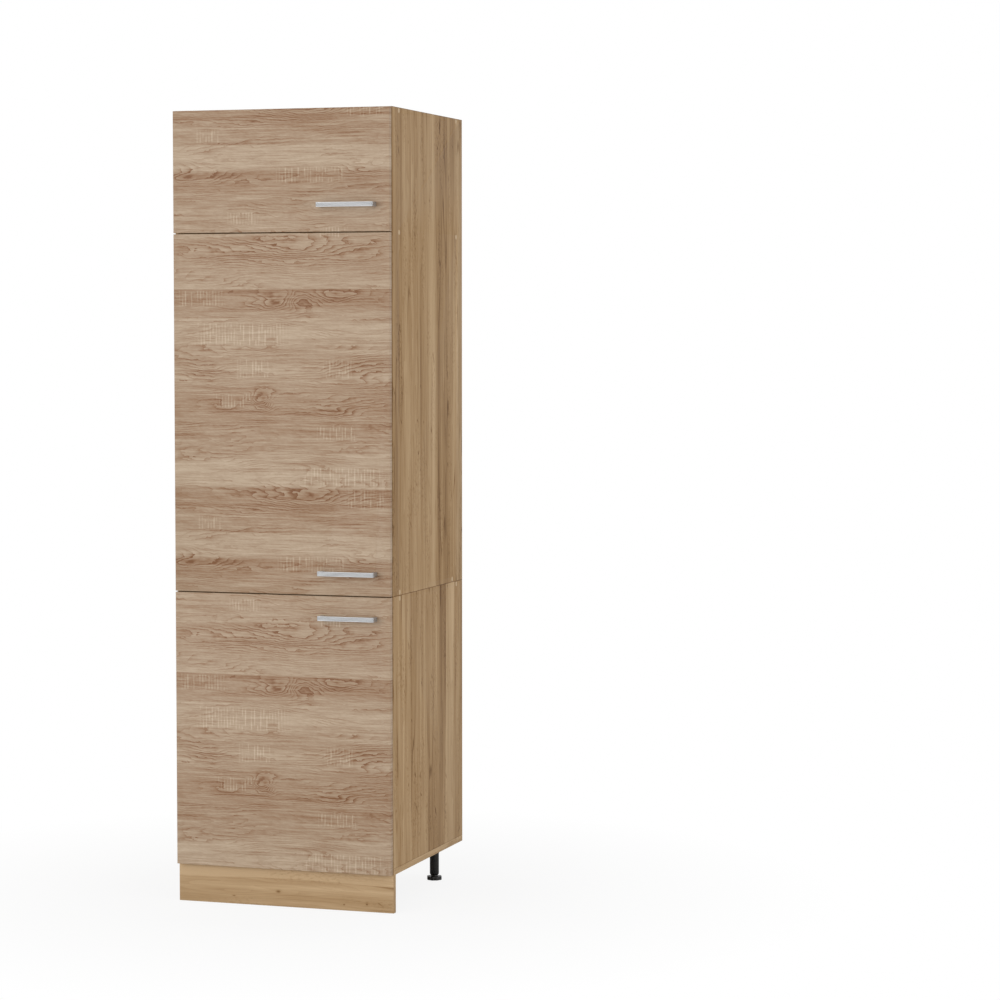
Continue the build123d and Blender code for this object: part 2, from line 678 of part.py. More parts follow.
def hinge_cup():
    """The pressed cup: a round pan with ears on the door, a notch for the links, and pin brackets."""
    bottom = DOOR_BACK - CUP_DEPTH
    centre = (CUP_CENTRE, bottom, 0)
    inner = CUP_RADIUS - CUP_SHEET
    pan = drill(centre, (0, 1, 0), CUP_RADIUS, CUP_DEPTH, CUP_SIDES)
    pan -= drill((CUP_CENTRE, bottom + CUP_SHEET, 0), (0, 1, 0), inner, CUP_DEPTH, CUP_SIDES)
    notch_low = CUP_CENTRE - CUP_RADIUS - 1
    pan -= board((notch_low, notch_low + 6), (DOOR_BACK - 3, DOOR_BACK + 1), (-5.6, 5.6))
    ears = strap((EAR_SCREW[0], -EAR_SCREW[1]), (EAR_SCREW[0], EAR_SCREW[1]), 12)
    ears -= Pos(CUP_CENTRE, 0) * RegularPolygon(inner, CUP_SIDES)
    for turn in (-1, 1):
        hole = RegularPolygon(EAR_HOLE, FASTENER_SIDES, major_radius=False)
        ears -= Pos(EAR_SCREW[0], turn * EAR_SCREW[1]) * hole
    pan += extrude(Plane.XZ.offset(-DOOR_BACK - EAR_SHEET) * ears, EAR_SHEET)
    floor = bottom + CUP_SHEET / 2
    top = CUP_INNER_PIVOT[1] + PIN_RADIUS + 1
    left = CUP_INNER_PIVOT[0] - PIN_RADIUS - 1
    right = CUP_OUTER_PIVOT[0] + PIN_RADIUS + 1
    outline = ((left, floor), (right, floor), (right, CUP_OUTER_PIVOT[1]), (CUP_INNER_PIVOT[0], top), (left, top))
    pan += layer(make_face(Polyline(*outline, close=True)), *BRACKET)
    pan += [pivot_pin(pivot, BRACKET[1]) for pivot in (CUP_OUTER_PIVOT, CUP_INNER_PIVOT)]
    return pan


def cup_screws():
    """The two screws through the cup's ears into the door."""
    head = DOOR_BACK + EAR_SHEET + 1.2
    steps = ((0, 2.8), (1.2, 3.4), (1.2, 1.6), (13, 1.6))
    return [turned((EAR_SCREW[0], head, turn * EAR_SCREW[1]), (0, -1, 0), steps) for turn in (-1, 1)]


def carcass_nodes():
    """Every node that stays with the carcass."""
    heights = all_hinge_heights()
    return {
        "bottom_panel": bottom_panel(),
        "lower_side_left": lower_side(-1),
        "lower_side_right": lower_side(1),
        "lower_top_panel": lower_top_panel(),
        "lower_back_panel": back_panel(BOTTOM_TOP, SEAM - BOARD),
        "shelf": shelf(),
        "shelf_pins": shelf_pins(),
        "upper_side_left": upper_side(-1),
        "upper_side_right": upper_side(1),
        "niche_floor_panel": niche_floor_panel(),
        "compartment_floor_panel": compartment_floor_panel(),
        "top_panel": top_panel(),
        "upper_back_panel": back_panel(COMPARTMENT_FLOOR_TOP, TOP_UNDERSIDE),
        "carcass_screws": carcass_screws(),
        "screw_cover_caps": screw_cover_caps(),
        "wooden_dowels": wooden_dowels(),
        "joining_sleeves": joining_sleeves(),
        "joining_screws": joining_screws(),
        "plinth_board": plinth_board(),
        "plinth_clips": plinth_clips(),
        "plinth_clip_screws": plinth_clip_screws(),
        "leg_bodies": [leg_body(x, y) for x, y in leg_places()],
        "leg_screws": leg_screws(),
        "hinge_plates": at_hinges([hinge_plate()], heights),
        "hinge_plate_screws": at_hinges(hinge_plate_screws(), heights),
        "hinge_arms": at_hinges([hinge_arm()], heights),
    }


def foot_nodes():
    """The four adjusting feet, each of which turns by itself."""
    names = ("front_left", "front_right", "rear_left", "rear_right")
    return {f"foot_{name}": leg_foot(x, y) for name, (x, y) in zip(names, leg_places())}


def door_nodes(name):
    """Every node of one door, and the links of its hinges."""
    heights = hinge_heights(name)
    return {
        f"door_panel_{name}": door_panel(name),
        f"handle_{name}": handle(name),
        f"handle_screws_{name}": handle_screws(name),
        f"door_bumpers_{name}": door_bumpers(name),
        f"hinge_cups_{name}": at_hinges([hinge_cup()], heights),
        f"cup_screws_{name}": at_hinges(cup_screws(), heights),
        f"inner_links_{name}": at_hinges([inner_link()], heights),
        f"outer_links_{name}": at_hinges([outer_link()], heights),
    }


def all_nodes():
    """Every node of the unit by name."""
    nodes = carcass_nodes()
    nodes.update(foot_nodes())
    for name in DOOR_NAMES:
        nodes.update(door_nodes(name))
    return nodes


def main():
    """Write one STEP file per node, with the origin on the floor under the unit's middle."""
    os.makedirs("parts", exist_ok=True)
    for name, shapes in all_nodes().items():
        solids = [solid for shape in shapes for solid in shape.solids()]
        node = Pos(0, -BOX_CENTRE_Y, 0) * Compound(solids)
        export_step(node, f"parts/{name}.step")


if __name__ == "__main__":
    main()
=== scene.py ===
import bpy
from math import cos, pi, radians, sin
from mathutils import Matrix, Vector


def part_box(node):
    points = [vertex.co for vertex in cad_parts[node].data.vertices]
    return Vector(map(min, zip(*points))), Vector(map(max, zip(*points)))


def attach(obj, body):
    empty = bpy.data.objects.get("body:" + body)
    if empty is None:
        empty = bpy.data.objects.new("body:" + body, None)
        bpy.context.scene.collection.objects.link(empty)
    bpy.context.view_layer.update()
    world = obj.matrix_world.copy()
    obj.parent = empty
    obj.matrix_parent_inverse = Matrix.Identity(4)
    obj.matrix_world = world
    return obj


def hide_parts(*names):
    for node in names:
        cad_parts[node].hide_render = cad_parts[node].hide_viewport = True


bl_info = {
    "name": "Fridge housing unit",
    "version": (1, 0, 0),
    "blender": (4, 5, 0),
    "location": "3D View > Sidebar > Fridge unit",
    "description": "Dresses a tall kitchen unit for a built-in fridge",
    "category": "Object",
}

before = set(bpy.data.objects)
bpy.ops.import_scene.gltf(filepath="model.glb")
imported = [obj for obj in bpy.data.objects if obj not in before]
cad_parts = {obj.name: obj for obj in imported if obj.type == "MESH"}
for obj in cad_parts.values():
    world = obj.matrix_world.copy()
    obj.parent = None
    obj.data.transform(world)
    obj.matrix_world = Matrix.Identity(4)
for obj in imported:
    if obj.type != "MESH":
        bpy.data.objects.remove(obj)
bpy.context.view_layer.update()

MM = 0.001
DOORS = ("bottom", "middle", "top")
FEET = ("front_left", "front_right", "rear_left", "rear_right")

# Driving sizes of the pieces that this script models, in millimetres
HANDLE_BAR = 6.0
HANDLE_FOOT = 10.0
HANDLE_INNER_CORNER = 2.6
HANDLE_GROOVES = (-3.0, 0.0, 3.0)
FRONT_EDGE = -254.5
DOOR_BACK = -256.5
SIDE_INNER = -284.0
CAP_FACE = 300.03
CAP_RADIUS = 6.6
HINGE_INSET = 80.0
CUP_FROM_SIDE = 6.0
CUP_RADIUS = 17.4
CUP_DEPTH = 12.3
CUP_SHEET = 0.8
CUP_FLANGE_RADIUS = 18.2
CUP_NOTCH = ((-22.0, -5.6, -3.0), (-11.5, 5.6, 3.0))
EAR_FROM_SIDE = 12.0
EAR_START = 15.0
EAR_REACH = 30.0
EAR_WIDTH = 12.0
EAR_SHEET = 1.3
EAR_CORNER = 5.5
CUP_PINS = ((-0.43, -7.46), (-4.84, -4.71))
PIN_RADIUS = 1.2
PIN_BRACKET = (7.4, 8.8)
BRACKET_REACH = (-13.0, -4.2)
BRACKET_TOP = -0.5
BRACKET_CORNER = 2.4
PLATE_SCREW_PROUD = 0.5
ARM_SCREWS = (30.0, 50.0)
ARM_SCREW_TOP = 16.4
LEG_PLACES = ((-241.0, -189.5), (241.0, -189.5), (-241.0, 235.5), (241.0, 235.5))
LEG_TUBE = 12.5
LEG_FLANGE = 28.0
GUSSETS = 3
GUSSET_BOX = ((11.5, -1.2, 72.0), (26.0, 1.2, 96.3))
GUSSET_RISE = 20.0
FOOT_RADIUS = 21.5
FOOT_HEIGHT = 10.0
FOOT_LOBES = 8
FOOT_LOBE_CORNER = 3.2
CLIP_HEIGHTS = (40.0, 54.0)
CLIP_RADII = (12.6, 15.8)
CLIP_STEM_HALF = 4.0
CLIP_PLATE_BACK = -238.5
CLIP_PLATE_THICKNESS = 3.0
CLIP_PLATE_HALF = 20.0
CLIP_PLATE_HEIGHTS = (32.0, 62.0)
CLIP_PLATE_CORNER = 4.0
MOULDED_EDGE = 0.4
SHELF_PIN_HEIGHT = 470.5

# How far the upright carcass screws of the CAD model start above the bottom board's underside
UPRIGHT_SCREW_GAP = 1.15

# The waists between a foot's lobes, as a share of its radius, and a clip's ring in degrees: where
# it starts and how far it goes round
FOOT_WAIST = 0.88
CLIP_START = 122
CLIP_SWEEP = 296

# Turned pieces from tip to head: height over the head's face and radius, in millimetres
CUP_SCREW = ((-13, 0.6), (-11, 1.6), (-1.2, 1.6), (-1.2, 3.5), (-0.4, 3.5), (0, 3.0))
PLATE_SCREW = ((-14, 0.6), (-12, 1.7), (-2.5, 1.7), (-0.6, 4.1), (-0.3, 4.1), (0, 3.4))
ARM_SCREW = ((-4, 3.0), (-1.9, 3.0), (-1.9, 4.8), (-0.4, 4.8), (0, 4.3))
PAN_HEAD_SCREW = ((-14, 0.6), (-12, 1.6), (-1.6, 1.6), (-1.6, 3.5), (-0.5, 3.3), (0, 2.4))
JOINING_SCREW = ((-20, 2.9), (-1, 2.9), (-1, 7.5), (-0.4, 7.5), (0, 6.6))
JOINING_SLEEVE = ((-24, 3.9), (-1, 3.9), (-1, 7.0), (-0.2, 7.8), (0, 7.5))
HANDLE_SCREW = ((-24, 1.9), (-2.5, 1.9), (-2.5, 4.1), (-1.0, 4.0), (0, 2.9))
CARCASS_SCREW = ((-48, 0.8), (-45, 2.2), (-4.4, 2.2), (-0.4, 5.2), (0, 5.1))
SHELF_PIN = ((-16.5, 1.9), (-16, 2.4), (-8, 2.4), (-8, 3.48), (-0.5, 3.48), (0, 3.0))
BUFFER_DOME = ((-1.7, 3.9), (-0.9, 3.9), (-0.25, 3.2), (0, 2.0))
CUP_PIN = ((-8.9, 1.0), (-8.7, PIN_RADIUS), (8.7, PIN_RADIUS), (8.9, 1.0))
FOOT_HUB = ((9, 10), (12.4, 9.2), (13, 8.6))
FOOT_SPINDLE = ((12, 4.95), (51, 4.95), (52, 4.0))
SLEEVE_PROUD = 0.05

# A screw's cross recess: its turn in degrees, and its ring, waist and floor as shares
RECESS_TURN = 15
RECESS_RING = 0.8
RECESS_WAIST = 0.37
RECESS_FLOOR = 0.6
RECESS_DEPTH = 0.5

# Metal finishes: pale and dark tone, roughness limits, and the size of their clouds in millimetres
NICKEL = ("#bdbab4", "#a6a39c", 0.24, 0.36, 3.0)
ZINC = ("#b4b5b6", "#95979a", 0.3, 0.45, 1.5)

WHITE = (1.0, 1.0, 1.0, 1.0)

# Soft square lights: place and aim in metres, side in metres and power in watts
LIGHTS = {
    "key_light": ((-4.5, -9.0, 2.4), (0, 0, 1.1), 5.0, 300),
    "fill_light": ((8.0, -3.0, 1.4), (0, 0, 1.0), 4.0, 145),
}

# Where the photograph was taken from, in metres and radians in the unit's own frame
CAMERA_PLACE = (2.9186, -7.4985, 1.5226)
CAMERA_TURN = (pi / 2 - 0.05888, 0.0, 0.31135)
CAMERA_LENS_MM = 108.59

# Width of a lamella in the golden oak decor, the depth of a board's printed faces and bands with
# their arrises, and the pitch of the door decor's saw marks, in millimetres
LAMELLA = 70.0
FACE_MARGIN = 0.45
SAW_PITCH = 8.5

# Knots on the plinth: middle (x, height) and half sizes, in metres
PLINTH_KNOTS = (
    (-0.020, 0.040, 0.0060, 0.0035),
    (0.163, 0.016, 0.0025, 0.0020),
    (0.226, 0.020, 0.0025, 0.0020),
    (-0.145, 0.022, 0.0040, 0.0015),
)

# The door decor repeats every metre, and its planks meet at these heights over the repeat's start
DECOR_REPEAT = 1.0
DECOR_START = 0.607
DECOR_PLANK_EDGES = (0.371, 0.488, 0.858)

# Broad pale and dark bands over one repeat: height over its start in metres, and tone from 0 to 1
DECOR_BANDS = (
    (0.000, 0.66), (0.035, 0.60), (0.080, 0.40), (0.120, 0.46), (0.160, 0.58), (0.200, 0.50),
    (0.262, 0.36), (0.300, 0.24), (0.312, 0.70), (0.366, 0.76), (0.373, 0.34), (0.400, 0.42),
    (0.430, 0.30), (0.486, 0.24), (0.492, 0.78), (0.542, 0.70), (0.590, 0.44), (0.650, 0.38),
    (0.690, 0.22), (0.735, 0.40), (0.775, 0.58), (0.840, 0.44), (0.858, 0.62), (0.905, 0.72),
    (0.935, 0.46), (0.965, 0.26), (0.998, 0.18),
)

# Figures in the door decor: middle (x, height over the start), half sizes and the lift of the rings
DECOR_FIGURES = (
    (-0.015, 0.966, 0.050, 0.026, 3.2),
    (0.066, 0.972, 0.036, 0.028, -3.0),
    (0.165, 0.984, 0.080, 0.020, 2.4),
    (-0.055, 0.712, 0.026, 0.024, 3.6),
    (0.145, 0.680, 0.060, 0.022, 2.0),
    (0.070, 0.468, 0.130, 0.045, 3.6),
    (-0.235, 0.298, 0.080, 0.026, 2.8),
    (0.230, 0.300, 0.060, 0.020, 2.0),
    (0.170, 0.795, 0.110, 0.022, -2.0),
    (-0.200, 0.790, 0.080, 0.024, 2.6),
    (0.020, 0.100, 0.220, 0.045, 2.6),
)

# Patches of pale saw marks in the door decor: x limits, and height limits over the repeat's start
DECOR_SAW_MARKS = (
    (-0.292, -0.150, 0.955, 0.999),
    (-0.250, 0.030, 0.852, 0.916),
    (-0.189, -0.070, 0.693, 0.733),
    (0.040, 0.298, 0.493, 0.545),
    (0.175, 0.292, 0.436, 0.490),
    (-0.235, -0.165, 0.376, 0.414),
    (-0.020, 0.190, 0.270, 0.314),
    (0.115, 0.205, 0.770, 0.822),
    (-0.125, -0.025, 0.770, 0.822),
    (0.090, 0.210, 0.610, 0.650),
    (-0.150, -0.050, 0.165, 0.200),
    (0.100, 0.190, 0.130, 0.160),
)


class FridgeUnitColours(bpy.types.PropertyGroup):
    """Colours of the finishes, as sRGB hex values"""

    door_pale: bpy.props.StringProperty(
        name="Door pale", description="Early wood of the sawn oak decor", default="#c9b69e")
    door_middle: bpy.props.StringProperty(
        name="Door middle", description="Main tone of the sawn oak decor", default="#ac947c")
    door_warm: bpy.props.StringProperty(
        name="Door warm", description="Reddish tone of its denser grain", default="#9a7b60")
    door_dark: bpy.props.StringProperty(
        name="Door dark", description="Late wood of the sawn oak decor", default="#80593d")
    carcass_pale: bpy.props.StringProperty(
        name="Carcass pale", description="Early wood of the golden oak decor", default="#c6aa86")
    carcass_middle: bpy.props.StringProperty(
        name="Carcass middle", description="Main tone of the golden oak decor", default="#a2835e")
    carcass_dark: bpy.props.StringProperty(
        name="Carcass dark", description="Late wood of the golden oak decor", default="#6a4c2f")
    back: bpy.props.StringProperty(
        name="Back panel", description="Lacquer of the thin back panels", default="#7d6a5c")
    handle: bpy.props.StringProperty(
        name="Handle", description="Anodised aluminium of the handles", default="#babbbc")


class FridgeUnitSizes(bpy.types.PropertyGroup):
    """Sizes of the detail, in metres"""

    handle_edge: bpy.props.FloatProperty(
        name="Handle edge", description="Radius of a handle's outer edges", default=0.5 * MM,
        unit="LENGTH", subtype="DISTANCE")
    groove_width: bpy.props.FloatProperty(
        name="Handle groove width", description="Width of the grooves along a handle's face",
        default=0.8 * MM, unit="LENGTH", subtype="DISTANCE")
    groove_depth: bpy.props.FloatProperty(
        name="Handle groove depth", description="Depth of the grooves along a handle's face",
        default=0.35 * MM, unit="LENGTH", subtype="DISTANCE")
    cap_edge: bpy.props.FloatProperty(
        name="Cap edge", description="Bevel of a screw cap's rim", default=0.3 * MM,
        unit="LENGTH", subtype="DISTANCE")
    board_edge: bpy.props.FloatProperty(
        name="Board edge", description="Arris of a board", default=0.4 * MM,
        unit="LENGTH", subtype="DISTANCE")
    sheet_edge: bpy.props.FloatProperty(
        name="Sheet edge", description="Rounding of a pressed steel edge", default=0.2 * MM,
        unit="LENGTH", subtype="DISTANCE")


# Colour and shader nodes

def linear(hex_colour):
    """An sRGB hex colour as linear red, green, blue and alpha."""
    channels = [int(hex_colour.lstrip("#")[place:place + 2], 16) / 255 for place in (0, 2, 4)]
    return tuple(c / 12.92 if c <= 0.04045 else ((c + 0.055) / 1.055) ** 2.4 for c in channels) + (1.0,)


def toned(colour, factor):
    """A linear colour made lighter or darker."""
    return tuple(min(1.0, c * factor) for c in colour[:3]) + (1.0,)


def add(tree, kind, inputs=(), stops=(), **settings):
    """Add a shader node with its settings and colour stops. Each input, by name or in order, gets
    a value, a feeding socket, or a node that feeds it from its first output."""
    node = tree.nodes.new("ShaderNode" + kind)
    for name, value in settings.items():
        setattr(node, name, value)
    for key, value in inputs.items() if isinstance(inputs, dict) else enumerate(inputs):
        if isinstance(value, bpy.types.Node):
            value = value.outputs[0]
        if isinstance(value, bpy.types.NodeSocket):
            tree.links.new(value, node.inputs[key])
        else:
            node.inputs[key].default_value = value
    if stops:
        elements = node.color_ramp.elements
        while len(elements) < len(stops):
            elements.new(1.0)
        for element, (position, colour) in zip(elements, stops):
            element.position = position
            element.color = colour
    return node


def new_material(name):
    """An empty material with its node tree."""
    material = bpy.data.materials.new(name)
    material.use_nodes = True
    material.node_tree.nodes.clear()
    return material, material.node_tree


def surface(material, colour, roughness, height, bump, bump_mm, further=None):
    """Close a material with a Principled shader, its roughness and a bump from a height."""
    tree = material.node_tree
    bumped = add(tree, "Bump", {"Strength": bump, "Distance": bump_mm * MM, "Height": height})
    inputs = {"Base Color": colour, "Roughness": roughness, "Normal": bumped}
    inputs.update(further or {})
    shader = add(tree, "BsdfPrincipled", inputs)
    add(tree, "OutputMaterial", {"Surface": shader})
    return material


def gathered(tree, operation, values):
    """One value from several, taken two at a time."""
    result = values[0]
    for value in values[1:]:
        result = add(tree, "Math", (result, value), operation=operation)
    return result


def total(tree, terms):
    """The sum of (value, factor) terms, each taken about its middle value of a half."""
    weighed = []
    for value, factor in terms:
        weighed.append(add(tree, "Math", (value, factor, -factor / 2), operation="MULTIPLY_ADD"))
    return gathered(tree, "ADD", weighed)


def streaks(tree, along, across, length_mm, width_mm, detail=2.0, seed=0.0):
    """Noise drawn out along the grain: the length and width of its streaks are real sizes."""
    lengthwise = add(tree, "Math", (along, 1000 / length_mm), operation="MULTIPLY")
    crosswise = add(tree, "Math", (across, 1000 / width_mm), operation="MULTIPLY")
    stretched = add(tree, "CombineXYZ", (lengthwise, crosswise, seed))
    return add(tree, "TexNoise", {
        "Vector": stretched, "Scale": 1.0, "Detail": detail, "Roughness": 0.55,
    }).outputs["Fac"]


def patch(tree, x, z, limits):
    """A soft-edged rectangular mask: 1 inside the limits and 0 outside."""
    low_x, high_x, low_z, high_z = limits
    reach = []
    for place, low, high in ((x, low_x, high_x), (z, low_z, high_z)):
        offset = add(tree, "Math", (place, (low + high) / 2), operation="SUBTRACT")
        offset = add(tree, "Math", (offset,), operation="ABSOLUTE")
        reach.append(add(tree, "Math", (offset, (high - low) / 2), operation="DIVIDE"))
    furthest = add(tree, "Math", reach, operation="MAXIMUM")
    return add(tree, "MapRange", (furthest, 1.05, 0.65, 0.0, 1.0), interpolation_type="SMOOTHSTEP")


def hump(tree, x, z, figure):
    """A smooth hill, 1 at its top, round which the grain lines bend into a figure."""
    middle_x, middle_z, half_x, half_z = figure[:4]
    squares = []
    for place, middle, half in ((x, middle_x, half_x), (z, middle_z, half_z)):
        offset = add(tree, "Math", (place, middle), operation="SUBTRACT")
        offset = add(tree, "Math", (offset, 1 / half), operation="MULTIPLY")
        squares.append(add(tree, "Math", (offset, 2.0), operation="POWER"))
    squared = add(tree, "Math", squares, operation="ADD")
    fall = add(tree, "Math", (squared, -1.0), operation="MULTIPLY")
    return add(tree, "Math", (fall,), operation="EXPONENT")


def between(tree, place, low, high):
    """1 between a board's two faces, and 0 on the faces and their arrises."""
    above = add(tree, "Math", (place, low + FACE_MARGIN * MM), operation="GREATER_THAN")
    below = add(tree, "Math", (place, high - FACE_MARGIN * MM), operation="LESS_THAN")
    return add(tree, "Math", (above, below), operation="MULTIPLY")


def chipboard_mask(tree, parts, board_box, thin, long, banded_ends):
    """1 where a board is bare: between its printed faces, and not on a banded front or end edge."""
    low, high = board_box
    bare = between(tree, parts.outputs[thin], low[thin], high[thin])
    if thin != 1:
        front = add(tree, "Math", (parts.outputs["Y"], low[1] + FACE_MARGIN * MM), operation="GREATER_THAN")
        bare = add(tree, "Math", (bare, front), operation="MULTIPLY")
    if banded_ends:
        inside = between(tree, parts.outputs[long], low[long], high[long])
        bare = add(tree, "Math", (bare, inside), operation="MULTIPLY")
    return bare


# Materials

def sawn_oak_decor(colours):
    """Melamine-faced board with a printed sawn oak decor: a pinkish beige ground, level grain in
    pale and dark bands, a few flame figures and knots, and pale marks across the grain as a
    frame saw leaves. The print has a satin lacquer with a very shallow pore."""
    material, tree = new_material("sawn_oak_melamine_board")
    place = add(tree, "TexCoord").outputs["Object"]
    parts = add(tree, "SeparateXYZ", (place,))
    x, height = parts.outputs["X"], parts.outputs["Z"]
    lifted = add(tree, "Math", (height, DECOR_START), operation="SUBTRACT")
    z = add(tree, "Math", (lifted, DECOR_REPEAT), operation="FLOORED_MODULO")

    # Each plank of the decor has grain of its own, so its number shifts the noise
    steps = [add(tree, "Math", (z, edge), operation="GREATER_THAN") for edge in DECOR_PLANK_EDGES]
    plank = gathered(tree, "ADD", steps)
    seed = add(tree, "Math", (plank, 3.7), operation="MULTIPLY")

    # The bands' borders wander a little along the grain, but not where two planks meet
    wander = streaks(tree, x, z, 260, 60, 2.0, seed)
    gaps = []
    for edge in DECOR_PLANK_EDGES + (0.0, DECOR_REPEAT):
        gap = add(tree, "Math", (z, edge), operation="SUBTRACT")
        gaps.append(add(tree, "Math", (gap,), operation="ABSOLUTE"))
    near_edge = gathered(tree, "MINIMUM", gaps)
    swing = add(tree, "MapRange", (near_edge, 0.004, 0.03, 0.0, 0.05))
    centred = add(tree, "Math", (wander, 0.5), operation="SUBTRACT")
    drift = add(tree, "Math", (centred, swing), operation="MULTIPLY")
    drifted = add(tree, "Math", (z, drift), operation="ADD")
    tones = [(level, (tone, tone, tone, 1.0)) for level, tone in DECOR_BANDS]
    bands = add(tree, "ValToRGB", (drifted,), tones)

    # Growth rings are level lines of a height that rises up the board, bent by noise and figures
    swell = streaks(tree, x, z, 420, 70, 1.5, seed)
    rise = add(tree, "Math", (z, 105.0), operation="MULTIPLY")
    rings = add(tree, "Math", (swell, 16.0, rise), operation="MULTIPLY_ADD")
    ripple = streaks(tree, x, z, 30, 12, 2.0, seed)
    rings = add(tree, "Math", (ripple, 1.5, rings), operation="MULTIPLY_ADD")
    swerve = streaks(tree, x, z, 70, 30, 1.0, 5.0)
    bent_x = add(tree, "Math", (x, 0.03), operation="SUBTRACT")
    bent_x = add(tree, "Math", (swerve, 0.06, bent_x), operation="MULTIPLY_ADD")
    sag = streaks(tree, x, z, 60, 40, 1.0, 8.0)
    bent_z = add(tree, "Math", (z, 0.015), operation="SUBTRACT")
    bent_z = add(tree, "Math", (sag, 0.03, bent_z), operation="MULTIPLY_ADD")
    hills = []
    for figure in DECOR_FIGURES:
        hill = hump(tree, bent_x, bent_z, figure)
        rings = add(tree, "Math", (hill, figure[4], rings), operation="MULTIPLY_ADD")
        hills.append(hill)
    figured = gathered(tree, "MAXIMUM", hills)
    late_wood = add(tree, "Math", (rings,), operation="FRACT")
    late_wood = add(tree, "Math", (late_wood, 3.0), operation="POWER")

    # Fibres and pores, from broad streaks down to hairlines
    broad = streaks(tree, x, z, 300, 15, 3.0, seed)
    middle = streaks(tree, x, z, 170, 5.0, 2.0, seed)
    short = streaks(tree, x, z, 60, 3.4, 1.0, seed)
    fine = streaks(tree, x, z, 30, 1.5, 2.0, seed)
    leaning = add(tree, "Math", (x, 0.22, z), operation="MULTIPLY_ADD")
    fleck = streaks(tree, x, leaning, 11, 3.0, 1.0, seed)
    strength = streaks(tree, x, z, 150, 30, 1.0, seed)
    ring_weight = add(tree, "MapRange", (strength, 0.42, 0.66, 0.08, 0.40))
    ring_weight = add(tree, "Math", (figured, 0.50, ring_weight), operation="MULTIPLY_ADD")
    ring_tone = add(tree, "Math", (late_wood, ring_weight), operation="MULTIPLY")
    tone = total(tree, (
        (bands, 0.60), (broad, 0.56), (middle, 0.55), (short, 0.44), (fine, 0.36), (fleck, 0.24),
    ))
    tone = add(tree, "Math", (tone, ring_tone), operation="SUBTRACT")

    # Saw marks: pale ticks across the grain, a few millimetres apart, only in their patches
    unsteady = streaks(tree, x, z, 60, 200, 1.0, 0.0)
    pace = add(tree, "Math", (x, 2 * pi * 1000 / SAW_PITCH), operation="MULTIPLY")
    pace = add(tree, "Math", (unsteady, 5.0, pace), operation="MULTIPLY_ADD")
    wave = add(tree, "Math", (pace,), operation="SINE")
    tick = add(tree, "MapRange", (wave, -0.2, 0.9, 0.0, 1.0))
    saw = add(tree, "MapRange", (streaks(tree, z, x, 34, 9.0, 1.0, 0.0), 0.42, 0.60, 0.0, 1.0))
    saw = add(tree, "Math", (saw, tick), operation="MULTIPLY")
    where = gathered(tree, "MAXIMUM", [patch(tree, x, z, limits) for limits in DECOR_SAW_MARKS])
    marks = add(tree, "Math", (saw, where), operation="MULTIPLY")
    tone = add(tree, "Math", (marks, 0.30, tone), operation="MULTIPLY_ADD")
    tone = add(tree, "Math", (tone, 0.54), operation="ADD", use_clamp=True)

    colour = add(tree, "ValToRGB", (tone,), (
        (0.0, linear(colours.door_dark)),
        (0.26, linear(colours.door_warm)),
        (0.52, linear(colours.door_middle)),
        (1.0, linear(colours.door_pale)),
    ))
    roughness = add(tree, "MapRange", (fine, 0.3, 0.7, 0.52, 0.42))
    return surface(material, colour, roughness, tone, 0.15, 0.12, {"Specular IOR Level": 0.2})


